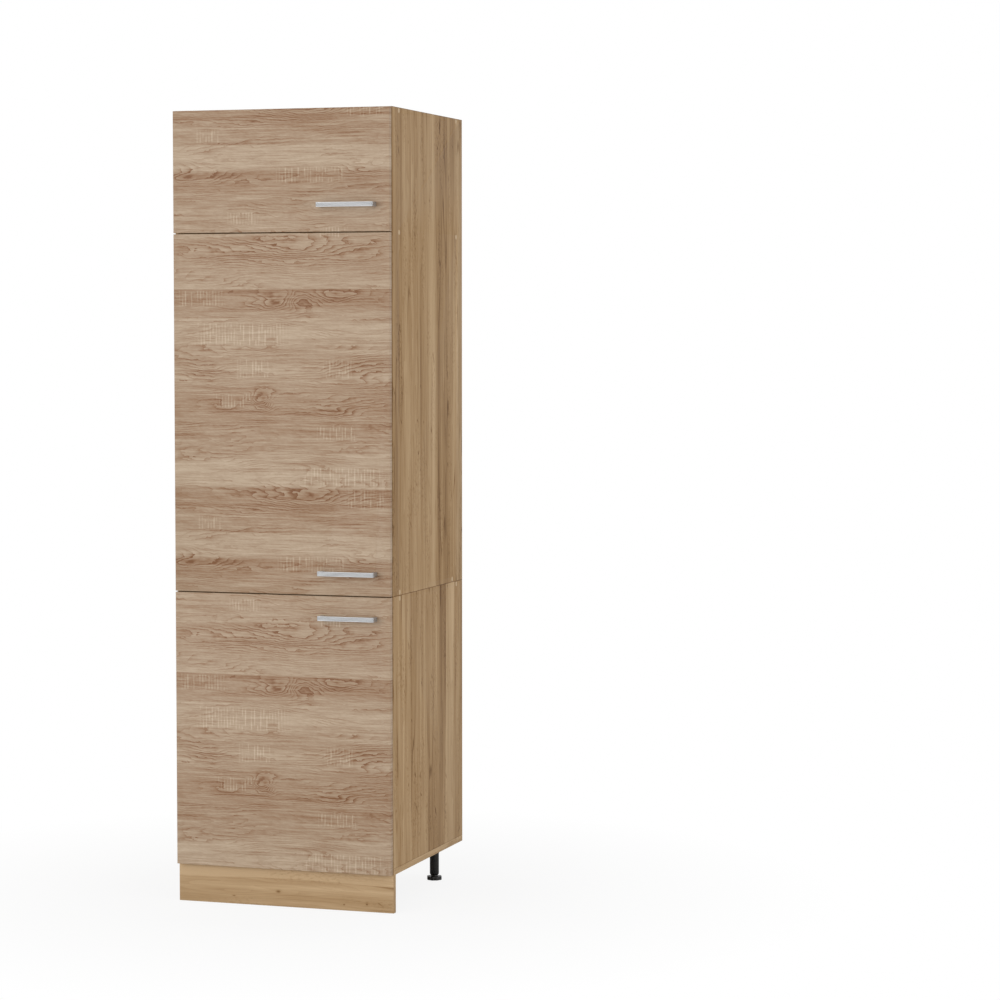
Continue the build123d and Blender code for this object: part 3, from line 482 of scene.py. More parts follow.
def golden_oak_decor(colours, name, axes, seed, board_box, lift=0.0, contrast=1.0,
                     banded_ends=False, knots=()):
    """Melamine-faced chipboard with a printed golden oak decor: lamellas of slightly different
    tone, straight fine grain, thin dark lines, short leaning flecks and small knots. Sawn and rear
    edges are bare chipboard, so the print ends there and the flakes show. Axes are the grain's,
    the one across it and the one through the board."""
    material, tree = new_material(name)
    place = add(tree, "TexCoord").outputs["Object"]
    parts = add(tree, "SeparateXYZ", (place,))
    low, high = board_box
    long, thin = "XYZ".index(axes[0]), "XYZ".index(axes[2])
    grain, side = parts.outputs[axes[0]], parts.outputs[axes[1]]
    if banded_ends:
        # The band on an end has its grain along the edge
        inside = between(tree, grain, low[long], high[long])
        at_end = add(tree, "Math", (1.0, inside), operation="SUBTRACT")
        band_grain, band_side = side, parts.outputs[axes[2]]
        side = add(tree, "Mix", {0: at_end, 2: side, 3: band_side})
        grain = add(tree, "Mix", {0: at_end, 2: grain, 3: band_grain})
    along = add(tree, "Math", (grain, seed * 1.37), operation="ADD")
    across = add(tree, "Math", (side, seed * 0.73), operation="ADD")

    # A lamella's number comes from its place across the grain, and shifts tone and grain
    wander = streaks(tree, along, across, 900, 300, 1.0, 2.0)
    bent = add(tree, "Math", (wander, 0.04, across), operation="MULTIPLY_ADD")
    number = add(tree, "Math", (bent, 1000 / LAMELLA), operation="MULTIPLY")
    number = add(tree, "Math", (number,), operation="FLOOR")
    random_tone = add(tree, "TexWhiteNoise", {"W": number}, noise_dimensions="1D").outputs["Value"]
    shift = add(tree, "Math", (random_tone, 31.0), operation="MULTIPLY")

    # Growth rings run round the knots
    swell = streaks(tree, along, across, 600, 50, 1.5, shift)
    rings = add(tree, "Math", (across, 95.0), operation="MULTIPLY")
    rings = add(tree, "Math", (swell, 14.0, rings), operation="MULTIPLY_ADD")
    hills = [hump(tree, grain, side, knot) for knot in knots]
    for hill in hills:
        rings = add(tree, "Math", (hill, 3.0, rings), operation="MULTIPLY_ADD")
    late_wood = add(tree, "Math", (rings,), operation="FRACT")
    late_wood = add(tree, "Math", (late_wood, 2.5), operation="POWER")
    broad = streaks(tree, along, across, 1000, 42, 2.0, shift)
    middle = streaks(tree, along, across, 420, 15, 3.0, shift)
    narrow = streaks(tree, along, across, 170, 5.5, 2.0, shift)
    fine = streaks(tree, along, across, 45, 1.6, 2.0, shift)
    tone = total(tree, (
        (random_tone, 0.42), (broad, 1.00), (middle, 0.50), (narrow, 0.34), (fine, 0.36),
        (late_wood, -0.14),
    ))

    # Long dark lines lie along the level lines of a slow swell, and come and go along the grain
    slow = streaks(tree, along, across, 900, 70, 1.0, shift)
    course = add(tree, "Math", (slow, 0.5), operation="SUBTRACT")
    course = add(tree, "Math", (course,), operation="ABSOLUTE")
    line = add(tree, "MapRange", (course, 0.004, 0.016, 1.0, 0.0))
    length = streaks(tree, along, across, 240, 40, 1.0, 6.0)
    shown = add(tree, "MapRange", (length, 0.48, 0.58, 0.0, 1.0))
    line = add(tree, "Math", (line, shown), operation="MULTIPLY")
    tone = add(tree, "Math", (line, -0.40, tone), operation="MULTIPLY_ADD")

    # Short flecks lean across the grain, and some stretches are finely mottled
    leaning = add(tree, "Math", (along, 0.35, across), operation="MULTIPLY_ADD")
    fleck = streaks(tree, along, leaning, 40, 14.0, 2.0, 9.0)
    crowd = streaks(tree, along, across, 300, 60, 1.0, 4.0)
    fleck = add(tree, "Math", (crowd, 0.35, fleck), operation="MULTIPLY_ADD")
    fleck = add(tree, "MapRange", (fleck, 0.86, 0.97, 0.0, 0.60))
    tone = add(tree, "Math", (tone, fleck), operation="SUBTRACT")
    mottle = streaks(tree, along, across, 11, 4.5, 1.0, 2.0)
    mottle = add(tree, "MapRange", (mottle, 0.50, 0.70, 0.0, -0.26))
    crowded = add(tree, "MapRange", (crowd, 0.50, 0.62, 0.0, 1.0))
    tone = add(tree, "Math", (mottle, crowded, tone), operation="MULTIPLY_ADD")
    for hill in hills:
        tone = add(tree, "Math", (hill, -0.8, tone), operation="MULTIPLY_ADD")
    tone = add(tree, "Math", (tone, contrast, 0.56 + lift), operation="MULTIPLY_ADD")

    # A fine dark line at the two ends of a board whose ends are bare: partly the glue of the joint, partly
    # painted shade in the seam where the board meets its neighbour
    if not banded_ends:
        start = add(tree, "Math", (grain, low[long]), operation="SUBTRACT")
        end = add(tree, "Math", (high[long], grain), operation="SUBTRACT")
        nearest = add(tree, "Math", (start, end), operation="MINIMUM")
        # Painted seam shade with the glue line: the tone drops by up to 0.38 within about a millimetre of
        # an end
        glue_line_and_seam_shade = add(tree, "MapRange", (nearest, 0.0007, 0.0016, 0.38, 0.0))
        tone = add(tree, "Math", (tone, glue_line_and_seam_shade), operation="SUBTRACT")
    printed = add(tree, "ValToRGB", (tone,), (
        (0.0, linear(colours.carcass_dark)),
        (0.5, linear(colours.carcass_middle)),
        (1.0, linear(colours.carcass_pale)),
    ))
    bare = chipboard_mask(tree, parts, board_box, thin, long, banded_ends)
    flakes = add(tree, "TexVoronoi", {"Vector": place, "Scale": 600.0}, feature="F1")
    shade = add(tree, "SeparateColor", (flakes.outputs["Color"],))
    flake_colour = add(tree, "ValToRGB", (shade,), (
        (0.0, linear("#9f7f55")),
        (0.45, linear("#b6966a")),
        (1.0, linear("#c6a87c")),
    ))
    colour = add(tree, "Mix", {0: bare, 6: printed, 7: flake_colour}, data_type="RGBA").outputs[2]
    roughness = add(tree, "MapRange", (bare, 0.0, 1.0, 0.52, 0.85))
    relief = add(tree, "Mix", {0: bare, 2: tone, 3: shade})
    return surface(material, colour, roughness, relief, 0.15, 0.12, {"Specular IOR Level": 0.04})


def lacquered_hardboard(colours):
    """Thin hardboard with a roller-coated matt lacquer: an even grey-brown with a faint mottle."""
    material, tree = new_material("lacquered_hardboard")
    place = add(tree, "TexCoord").outputs["Object"]
    mottle = add(tree, "TexNoise", {"Vector": place, "Scale": 55.0, "Detail": 3.0}).outputs["Fac"]
    base = linear(colours.back)
    colour = add(tree, "ValToRGB", (mottle,), ((0.3, toned(base, 0.93)), (0.7, toned(base, 1.06))))
    return surface(material, colour, 0.6, mottle, 0.1, 0.1)


def anodised_aluminium(colours):
    """Extruded bar, brushed along its length and satin anodised: a soft broad sheen with faint
    lengthwise lines."""
    material, tree = new_material("satin_anodised_aluminium")
    parts = add(tree, "SeparateXYZ", (add(tree, "TexCoord").outputs["Object"],))
    brushed = streaks(tree, parts.outputs["X"], parts.outputs["Z"], 60, 0.6, 2.0, 1.0)
    base = linear(colours.handle)
    colour = add(tree, "ValToRGB", (brushed,), ((0.3, toned(base, 0.94)), (0.7, toned(base, 1.04))))
    roughness = add(tree, "MapRange", (brushed, 0.3, 0.7, 0.46, 0.56))
    return surface(material, colour, roughness, brushed, 0.1, 0.05, {"Metallic": 1.0})


def plated_steel(name, pale, dark, rough_low, rough_high, grain_mm):
    """Pressed or headed steel with a thin bright plating: slightly cloudy, with fine pits."""
    material, tree = new_material(name)
    place = add(tree, "TexCoord").outputs["Object"]
    cloud = add(tree, "TexNoise", {
        "Vector": place, "Scale": 1000 / grain_mm, "Detail": 3.0, "Roughness": 0.6,
    }).outputs["Fac"]
    colour = add(tree, "ValToRGB", (cloud,), ((0.3, linear(dark)), (0.7, linear(pale))))
    roughness = add(tree, "MapRange", (cloud, 0.3, 0.7, rough_low, rough_high))
    return surface(material, colour, roughness, cloud, 0.1, 0.04, {"Metallic": 1.0})


def moulded_plastic(name, pale, dark, rough_low, rough_high, grain_mm):
    """Injection-moulded plastic: even colour with the fine spark-eroded grain of its mould."""
    material, tree = new_material(name)
    place = add(tree, "TexCoord").outputs["Object"]
    grain = add(tree, "TexNoise", {"Vector": place, "Scale": 1000 / grain_mm, "Detail": 2.0}).outputs["Fac"]
    colour = add(tree, "ValToRGB", (grain,), ((0.3, linear(dark)), (0.7, linear(pale))))
    roughness = add(tree, "MapRange", (grain, 0.3, 0.7, rough_low, rough_high))
    return surface(material, colour, roughness, grain, 0.15, 0.05)


def turned_beech():
    """Turned beech dowel: pale pinkish wood with short dark rays along its length."""
    material, tree = new_material("turned_beech")
    parts = add(tree, "SeparateXYZ", (add(tree, "TexCoord").outputs["Object"],))
    grain = streaks(tree, parts.outputs["X"], parts.outputs["Z"], 9, 0.7, 2.0, 1.0)
    colour = add(tree, "ValToRGB", (grain,), ((0.3, linear("#a9835a")), (0.7, linear("#d2b184"))))
    return surface(material, colour, 0.6, grain, 0.15, 0.08)


# Modelling helpers

def metres(*lengths):
    """Lengths in millimetres as a tuple in metres."""
    return tuple(length * MM for length in lengths)


def deselect():
    """Leave edit mode and deselect everything."""
    if bpy.context.object is not None and bpy.context.object.mode != "OBJECT":
        bpy.ops.object.mode_set(mode="OBJECT")
    bpy.ops.object.select_all(action="DESELECT")


def active(piece):
    """Make one piece the only selected and the active object."""
    deselect()
    piece.select_set(True)
    bpy.context.view_layer.objects.active = piece


def block(name, low, high):
    """A box between two corners, with its place in its mesh."""
    deselect()
    middle = [(a + b) / 2 for a, b in zip(low, high)]
    size = [b - a for a, b in zip(low, high)]
    bpy.ops.mesh.primitive_cube_add(size=1.0, location=middle, scale=size)
    piece = bpy.context.object
    piece.name = name
    settle(piece)
    return piece


def settle(piece):
    """Apply a piece's place, turn and scale to its mesh."""
    active(piece)
    bpy.ops.object.transform_apply(location=True, rotation=True, scale=True)


def choose(piece, test, kind="faces"):
    """Enter edit mode with the faces, edges or points selected whose places pass a test."""
    active(piece)
    bpy.ops.object.mode_set(mode="EDIT")
    bpy.ops.mesh.select_mode(type={"faces": "FACE", "edges": "EDGE", "points": "VERT"}[kind])
    bpy.ops.mesh.select_all(action="DESELECT")
    bpy.ops.object.mode_set(mode="OBJECT")
    mesh = piece.data
    if kind == "faces":
        for face in mesh.polygons:
            face.select = test(face.center, face.normal)
    elif kind == "edges":
        for edge in mesh.edges:
            edge.select = test(*[mesh.vertices[index].co for index in edge.vertices])
    else:
        for vertex in mesh.vertices:
            vertex.select = test(vertex.co)
    bpy.ops.object.mode_set(mode="EDIT")


def lathe(name, profile, sides=32):
    """A round piece along +Z at the origin: a disc extruded and scaled through steps of height and
    radius in millimetres."""
    deselect()
    profile = [metres(z, radius) for z, radius in profile]
    low, radius = profile[0]
    bpy.ops.mesh.primitive_circle_add(vertices=sides, radius=radius, fill_type="NGON", location=(0, 0, low))
    piece = bpy.context.object
    piece.name = name
    settle(piece)
    bpy.ops.object.mode_set(mode="EDIT")
    bpy.ops.mesh.select_mode(type="FACE")
    bpy.ops.mesh.select_all(action="SELECT")
    for (z_now, r_now), (z_next, r_next) in zip(profile, profile[1:]):
        bpy.ops.mesh.extrude_region_move(TRANSFORM_OT_translate={"value": (0, 0, z_next - z_now)})
        bpy.ops.transform.resize(value=(r_next / r_now, r_next / r_now, 1.0))
    bpy.ops.mesh.select_all(action="SELECT")
    bpy.ops.mesh.normals_make_consistent(inside=False)
    bpy.ops.object.mode_set(mode="OBJECT")
    return piece


def smooth(piece, angle=40):
    """Shade a piece smooth but for its sharp edges."""
    active(piece)
    bpy.ops.object.shade_smooth_by_angle(angle=radians(angle))


def soften(piece, width, segments=2, angle=50):
    """Break a piece's sharp edges with a bevel, and shade its round faces smooth."""
    active(piece)
    bevel = piece.modifiers.new("edges", "BEVEL")
    bevel.width = width
    bevel.segments = segments
    bevel.limit_method = "ANGLE"
    bevel.angle_limit = radians(angle)
    bevel.use_clamp_overlap = False
    bpy.ops.object.modifier_apply(modifier=bevel.name)
    smooth(piece)


def copies(model, name, places):
    """One piece from copies of a model, each turned from +Z to an axis and moved to its place."""
    made = []
    for place, axis in places:
        copy = model.copy()
        copy.data = model.data.copy()
        bpy.context.collection.objects.link(copy)
        copy.rotation_mode = "QUATERNION"
        copy.rotation_quaternion = Vector((0, 0, 1)).rotation_difference(Vector(axis))
        copy.location = place
        settle(copy)
        made.append(copy)
    bpy.data.objects.remove(model, do_unlink=True)
    return joined(made, name)


def solids_of(node):
    """The lowest corner, highest corner and middle of each solid in a CAD node, in a steady order."""
    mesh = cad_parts[node].data
    keys = [tuple(round(c, 5) for c in vertex.co) for vertex in mesh.vertices]
    parent = {key: key for key in keys}

    def root(key):
        while parent[key] != key:
            parent[key] = parent[parent[key]]
            key = parent[key]
        return key

    for face in mesh.polygons:
        first = root(keys[face.vertices[0]])
        for index in face.vertices[1:]:
            parent[root(keys[index])] = first
    groups = {}
    for key in parent:
        groups.setdefault(root(key), []).append(key)
    boxes = []
    for points in groups.values():
        low = tuple(min(point[axis] for point in points) for axis in range(3))
        high = tuple(max(point[axis] for point in points) for axis in range(3))
        middle = tuple(sum(point[axis] for point in points) / len(points) for axis in range(3))
        boxes.append((low, high, middle))
    return sorted(boxes)


def refined(name, node, width):
    """A copy of a CAD node's mesh with its points joined, its flats made whole and its edges broken."""
    piece = bpy.data.objects.new(name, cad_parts[node].data.copy())
    bpy.context.collection.objects.link(piece)
    active(piece)
    bpy.ops.object.mode_set(mode="EDIT")
    bpy.ops.mesh.select_all(action="SELECT")
    bpy.ops.mesh.remove_doubles(threshold=0.01 * MM)
    bpy.ops.mesh.dissolve_limited(angle_limit=radians(0.5))
    bpy.ops.object.mode_set(mode="OBJECT")
    soften(piece, width, angle=25)
    return piece


def cross_screw(name, steps):
    """A screw along +Z from its tip, with its head's top at the origin and a cross recess in it."""
    screw = lathe(name, steps, sides=12)
    face_radius = steps[-1][1] * MM
    reach = RECESS_RING * face_radius
    screw.rotation_euler = (0, 0, radians(RECESS_TURN))
    settle(screw)
    choose(screw, lambda middle, normal: normal.z > 0.9 and abs(middle.z) < 1e-7)
    bpy.ops.mesh.extrude_region_move(TRANSFORM_OT_translate={"value": (0, 0, 0)})
    bpy.ops.transform.resize(value=(RECESS_RING, RECESS_RING, 1.0))
    bpy.ops.object.mode_set(mode="OBJECT")

    def corner(point):
        rim = abs((point.x ** 2 + point.y ** 2) ** 0.5 - reach) < 1e-6
        return rim and abs(point.z) < 1e-7 and abs(abs(point.x) - abs(point.y)) < 1e-6

    choose(screw, corner, "points")
    bpy.ops.transform.resize(value=(RECESS_WAIST, RECESS_WAIST, 1.0))
    bpy.ops.object.mode_set(mode="OBJECT")
    choose(screw, lambda middle, normal: abs(middle.x) + abs(middle.y) < 1e-6 and abs(middle.z) < 1e-7)
    bpy.ops.mesh.extrude_region_move(TRANSFORM_OT_translate={"value": (0, 0, -RECESS_DEPTH * face_radius)})
    bpy.ops.transform.resize(value=(RECESS_FLOOR, RECESS_FLOOR, 1.0))
    bpy.ops.mesh.select_all(action="SELECT")
    bpy.ops.mesh.normals_make_consistent(inside=False)
    bpy.ops.object.mode_set(mode="OBJECT")
    smooth(screw, 35)
    return screw


def heads_of(node, axis, proud=0.0):
    """Where each fastener of a CAD node has the outer face of its head, for one axis direction."""
    along = [abs(part) for part in axis].index(1)
    places = []
    for low, high, middle in solids_of(node):
        place = list(middle)
        place[along] = (high if axis[along] > 0 else low)[along] + axis[along] * proud * MM
        places.append((place, axis))
    return places


def joined(pieces, name):
    """Several pieces made one."""
    deselect()
    for piece in pieces:
        piece.select_set(True)
    bpy.context.view_layer.objects.active = pieces[0]
    bpy.ops.object.join()
    piece = bpy.context.object
    piece.name = name
    return piece


def moved(piece, place):
    """Move a piece and apply its place."""
    piece.location = place
    settle(piece)
    return piece


def cut(piece, tool):
    """Take one piece out of another."""
    active(piece)
    take = piece.modifiers.new("cut", "BOOLEAN")
    take.operation = "DIFFERENCE"
    take.object = tool
    bpy.ops.object.modifier_apply(modifier=take.name)
    bpy.data.objects.remove(tool, do_unlink=True)


def dress(piece, material):
    """Give a piece one material."""
    piece.data.materials.clear()
    piece.data.materials.append(material)


def stand_for(piece, body, slot, material, *nodes):
    """Give a finished piece its material, tie it to its body and hide the CAD nodes that it stands for. The
    slot is not used.
    """
    dress(piece, material)
    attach(piece, body)
    if nodes:
        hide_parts(*nodes)


def finish_node(name, material):
    """Give a CAD node its material."""
    dress(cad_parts[name], material)


def colours():
    """The user's colours."""
    return bpy.context.scene.fridge_unit_colours


def sizes():
    """The user's sizes."""
    return bpy.context.scene.fridge_unit_sizes


# Operators, one for each piece or group of like pieces

class FRIDGEUNIT_OT_doors(bpy.types.Operator):
    """Model the three doors with softened edges and print the sawn oak decor on them"""

    bl_idname = "fridgeunit.doors"
    bl_label = "Doors"

    def execute(self, context):
        decor = sawn_oak_decor(colours())
        for door in DOORS:
            panel = refined(f"{door}_door_board", f"door_panel_{door}", sizes().sheet_edge)
            stand_for(panel, f"door_{door}", "door_decor", decor, f"door_panel_{door}")
        return {"FINISHED"}


class FRIDGEUNIT_OT_carcass(bpy.types.Operator):
    """Model the carcass boards, the shelf and the plinth, each with grain of its own"""

    bl_idname = "fridgeunit.carcass"
    bl_label = "Carcass boards"

    def execute(self, context):
        upright = ("lower_side_left", "lower_side_right", "upper_side_left", "upper_side_right")
        level = (
            "bottom_panel", "lower_top_panel", "niche_floor_panel", "compartment_floor_panel",
            "top_panel", "shelf",
        )
        for seed, name in enumerate(upright):
            self.board(name, "ZYX", seed, "carcass_decor")
        for seed, name in enumerate(level, len(upright)):
            banded = name in ("bottom_panel", "shelf")
            self.board(name, "XYZ", seed, "carcass_decor", banded_ends=banded)
        self.board("plinth_board", "XZY", 11, "plinth_decor", lift=0.25, contrast=0.8,
                   banded_ends=True, knots=PLINTH_KNOTS)
        return {"FINISHED"}

    def board(self, node, axes, seed, slot, **finish):
        """One board with its arrises broken and its own stretch of the decor."""
        name = f"golden_oak_melamine_{node}"
        decor = golden_oak_decor(colours(), name, axes, seed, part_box(node), **finish)
        piece = refined(f"{node}_board", node, sizes().board_edge)
        stand_for(piece, "carcass", slot, decor, node)


class FRIDGEUNIT_OT_backs(bpy.types.Operator):
    """Lacquer the two thin back panels"""

    bl_idname = "fridgeunit.backs"
    bl_label = "Back panels"

    def execute(self, context):
        lacquer = lacquered_hardboard(colours())
        for name in ("lower_back_panel", "upper_back_panel"):
            finish_node(name, lacquer)
        return {"FINISHED"}


class FRIDGEUNIT_OT_handles(bpy.types.Operator):
    """Model the three bow handles with their rounded inner corners and face grooves"""

    bl_idname = "fridgeunit.handles"
    bl_label = "Handles"

    def execute(self, context):
        satin = anodised_aluminium(colours())
        for door in DOORS:
            low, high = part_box(f"handle_{door}")
            bow = self.bow(f"bow_handle_{door}", low, high)
            stand_for(bow, f"door_{door}", "satin_aluminium", satin, f"handle_{door}")
        return {"FINISHED"}

    def bow(self, name, low, high):
        """A bar whose ends are extruded back into feet."""
        bar_back = low[1] + HANDLE_BAR * MM
        middle_x = (low[0] + high[0]) / 2
        middle_z = (low[2] + high[2]) / 2
        inner = (high[0] - low[0]) / 2 - HANDLE_FOOT * MM
        bow = block(name, low, (high[0], bar_back, high[2]))
        half_groove = sizes().groove_width / 2
        choose(bow, lambda middle, normal: True)
        for side in (-1, 1):
            bpy.ops.mesh.select_all(action="SELECT")
            bpy.ops.mesh.bisect(plane_co=(middle_x + side * inner, 0, 0), plane_no=(1, 0, 0))
        for level in HANDLE_GROOVES:
            for side in (-1, 1):
                bpy.ops.mesh.select_all(action="SELECT")
                height = middle_z + level * MM + side * half_groove
                bpy.ops.mesh.bisect(plane_co=(0, 0, height), plane_no=(0, 0, 1))
        bpy.ops.object.mode_set(mode="OBJECT")
        choose(bow, lambda middle, normal: normal.y > 0.9 and abs(middle.x - middle_x) > inner)
        bpy.ops.mesh.extrude_region_move(TRANSFORM_OT_translate={"value": (0, high[1] - bar_back, 0)})
        bpy.ops.object.mode_set(mode="OBJECT")

        def at_corner(point):
            return abs(point.y - bar_back) < 1e-5 and abs(abs(point.x - middle_x) - inner) < 1e-5

        choose(bow, lambda first, second: at_corner(first) and at_corner(second), "edges")
        bpy.ops.mesh.bevel(offset=HANDLE_INNER_CORNER * MM, segments=5, affect="EDGES")
        bpy.ops.object.mode_set(mode="OBJECT")

        def in_groove(middle, normal):
            level = (middle.z - middle_z) / MM
            near = any(abs(level - groove) * MM < half_groove for groove in HANDLE_GROOVES)
            return near and normal.y < -0.9

        choose(bow, in_groove)
        bpy.ops.mesh.extrude_region_move(TRANSFORM_OT_translate={"value": (0, sizes().groove_depth, 0)})
        bpy.ops.object.mode_set(mode="OBJECT")
        soften(bow, sizes().handle_edge, segments=3)
        return bow


class FRIDGEUNIT_OT_caps(bpy.types.Operator):
    """Model the round screw caps, which lie almost flush in both side faces"""

    bl_idname = "fridgeunit.caps"
    bl_label = "Screw caps"

    def execute(self, context):
        moulded = moulded_plastic("moulded_abs_screw_cap", "#c2a680", "#b39871", 0.42, 0.5, 0.5)
        rim = CAP_RADIUS - sizes().cap_edge / MM
        cap = lathe("cap_model", ((-1.0, CAP_RADIUS - 0.5), (-0.05, CAP_RADIUS), (0, rim)))
        places = []
        for place, _ in heads_of("screw_cover_caps", (1, 0, 0)):
            side = 1 if place[0] > 0 else -1
            places.append(((side * CAP_FACE * MM, place[1], place[2]), (side, 0, 0)))
        caps = copies(cap, "round_screw_caps", places)
        smooth(caps, 30)
        stand_for(caps, "carcass", "cap_plastic", moulded, "screw_cover_caps")
        return {"FINISHED"}


class FRIDGEUNIT_OT_legs(bpy.types.Operator):
    """Model the four black legs, their lobed feet and the two plinth clips"""

    bl_idname = "fridgeunit.legs"
    bl_label = "Legs and feet"

    def execute(self, context):
        black = moulded_plastic("moulded_black_polypropylene", "#161616", "#0e0e0e", 0.36, 0.48, 0.6)
        legs = [moved(self.leg(), metres(x, y, 0)) for x, y in LEG_PLACES]
        stand_for(joined(legs, "flanged_legs"), "carcass", "black_plastic", black, "leg_bodies")
        for name, (x, y) in zip(FEET, LEG_PLACES):
            foot = moved(self.foot(f"lobed_foot_{name}"), metres(x, y, 0))
            stand_for(foot, f"foot_{name}_body", "black_plastic", black, f"foot_{name}")
        clips = [self.clip(x, y) for x, y in LEG_PLACES[:2]]
        stand_for(joined(clips, "sprung_plinth_clips"), "carcass", "black_plastic", black, "plinth_clips")
        return {"FINISHED"}

    def leg(self):
        """A tube with a screwed flange and three gussets between them."""
        steps = (
            (14, LEG_TUBE - 1.6), (16.5, LEG_TUBE), (95, LEG_TUBE), (96, LEG_TUBE + 0.6),
            (96, LEG_FLANGE), (99.3, LEG_FLANGE), (100, LEG_FLANGE - 0.6),
        )
        pieces = [lathe("leg_model", steps, sides=48)]
        low, high = (metres(*corner) for corner in GUSSET_BOX)
        for index in range(GUSSETS):
            gusset = block("gusset", low, high)
            choose(gusset, lambda point: point.x > high[0] - 1 * MM and point.z < low[2] + 1 * MM, "points")
            bpy.ops.transform.translate(value=(0, 0, GUSSET_RISE * MM))
            bpy.ops.object.mode_set(mode="OBJECT")
            gusset.rotation_euler = (0, 0, 2 * pi * index / GUSSETS)
            settle(gusset)
            pieces.append(gusset)
        leg = joined(pieces, "leg_model")
        soften(leg, 0.3 * MM)
        return leg

    def foot(self, name):
        """A lobed disc with a hub and the spindle that turns in the leg."""
        deselect()
        radius = FOOT_RADIUS * MM
        bpy.ops.mesh.primitive_circle_add(vertices=2 * FOOT_LOBES, radius=radius, fill_type="NGON")
        disc = bpy.context.object
        choose(disc, lambda middle, normal: True)
        bpy.ops.mesh.extrude_region_move(TRANSFORM_OT_translate={"value": (0, 0, FOOT_HEIGHT * MM)})
        bpy.ops.mesh.select_all(action="SELECT")
        bpy.ops.mesh.normals_make_consistent(inside=False)
        bpy.ops.object.mode_set(mode="OBJECT")
        angles = [pi * (2 * lobe + 1) / FOOT_LOBES for lobe in range(FOOT_LOBES)]
        waists = [(radius * cos(angle), radius * sin(angle)) for angle in angles]

        def at_waist(point):
            return any(abs(point.x - x) + abs(point.y - y) < 1e-5 for x, y in waists)

        choose(disc, at_waist, "points")
        bpy.ops.transform.resize(value=(FOOT_WAIST, FOOT_WAIST, 1.0))
        bpy.ops.object.mode_set(mode="OBJECT")
        choose(disc, lambda first, second: abs(first.z - second.z) > 5 * MM, "edges")
        bpy.ops.mesh.bevel(offset=FOOT_LOBE_CORNER * MM, segments=4, affect="EDGES")
        bpy.ops.object.mode_set(mode="OBJECT")
        soften(disc, 0.8 * MM)
        hub = lathe("hub", FOOT_HUB)
        spindle = lathe("spindle", FOOT_SPINDLE, sides=24)
        for round_piece in (hub, spindle):
            smooth(round_piece)
        return joined([disc, hub, spindle], name)

    def clip(self, x, y):
        """An open ring that snaps round a leg, with a stem to a plate on the plinth's back."""
        low, high = metres(*CLIP_HEIGHTS)
        inner, outer = metres(*CLIP_RADII)
        deselect()
        bpy.ops.mesh.primitive_plane_add(size=1.0, rotation=(pi / 2, 0, 0))
        ring = bpy.context.object
        ring.name = "clip_ring"
        settle(ring)
        ring.scale = (outer - inner, 1, high - low)
        ring.location = ((inner + outer) / 2, 0, (low + high) / 2)
        settle(ring)
        ring.rotation_euler = (0, 0, radians(CLIP_START))
        settle(ring)
        choose(ring, lambda middle, normal: True)
        bpy.ops.mesh.spin(steps=32, angle=radians(CLIP_SWEEP), center=(0, 0, 0), axis=(0, 0, 1))
        bpy.ops.mesh.select_all(action="SELECT")
        bpy.ops.mesh.remove_doubles(threshold=0.001 * MM)
        bpy.ops.mesh.normals_make_consistent(inside=False)
        bpy.ops.object.mode_set(mode="OBJECT")
        soften(ring, MOULDED_EDGE * MM)
        moved(ring, metres(x, y, 0))
        stem_front = y - CLIP_RADII[0] - 1
        stem = block("clip_stem", metres(x - CLIP_STEM_HALF, CLIP_PLATE_BACK + 2, CLIP_HEIGHTS[0]),
                     metres(x + CLIP_STEM_HALF, stem_front, CLIP_HEIGHTS[1]))
        plate_front = CLIP_PLATE_BACK + CLIP_PLATE_THICKNESS
        plate = block("clip_plate", metres(x - CLIP_PLATE_HALF, CLIP_PLATE_BACK, CLIP_PLATE_HEIGHTS[0]),
                      metres(x + CLIP_PLATE_HALF, plate_front, CLIP_PLATE_HEIGHTS[1]))
        choose(plate, lambda first, second: abs(first.y - second.y) > 2 * MM, "edges")
        bpy.ops.mesh.bevel(offset=CLIP_PLATE_CORNER * MM, segments=4, affect="EDGES")
        bpy.ops.object.mode_set(mode="OBJECT")
        for part in (stem, plate):
            soften(part, MOULDED_EDGE * MM)
        return joined([ring, stem, plate], "clip_model")


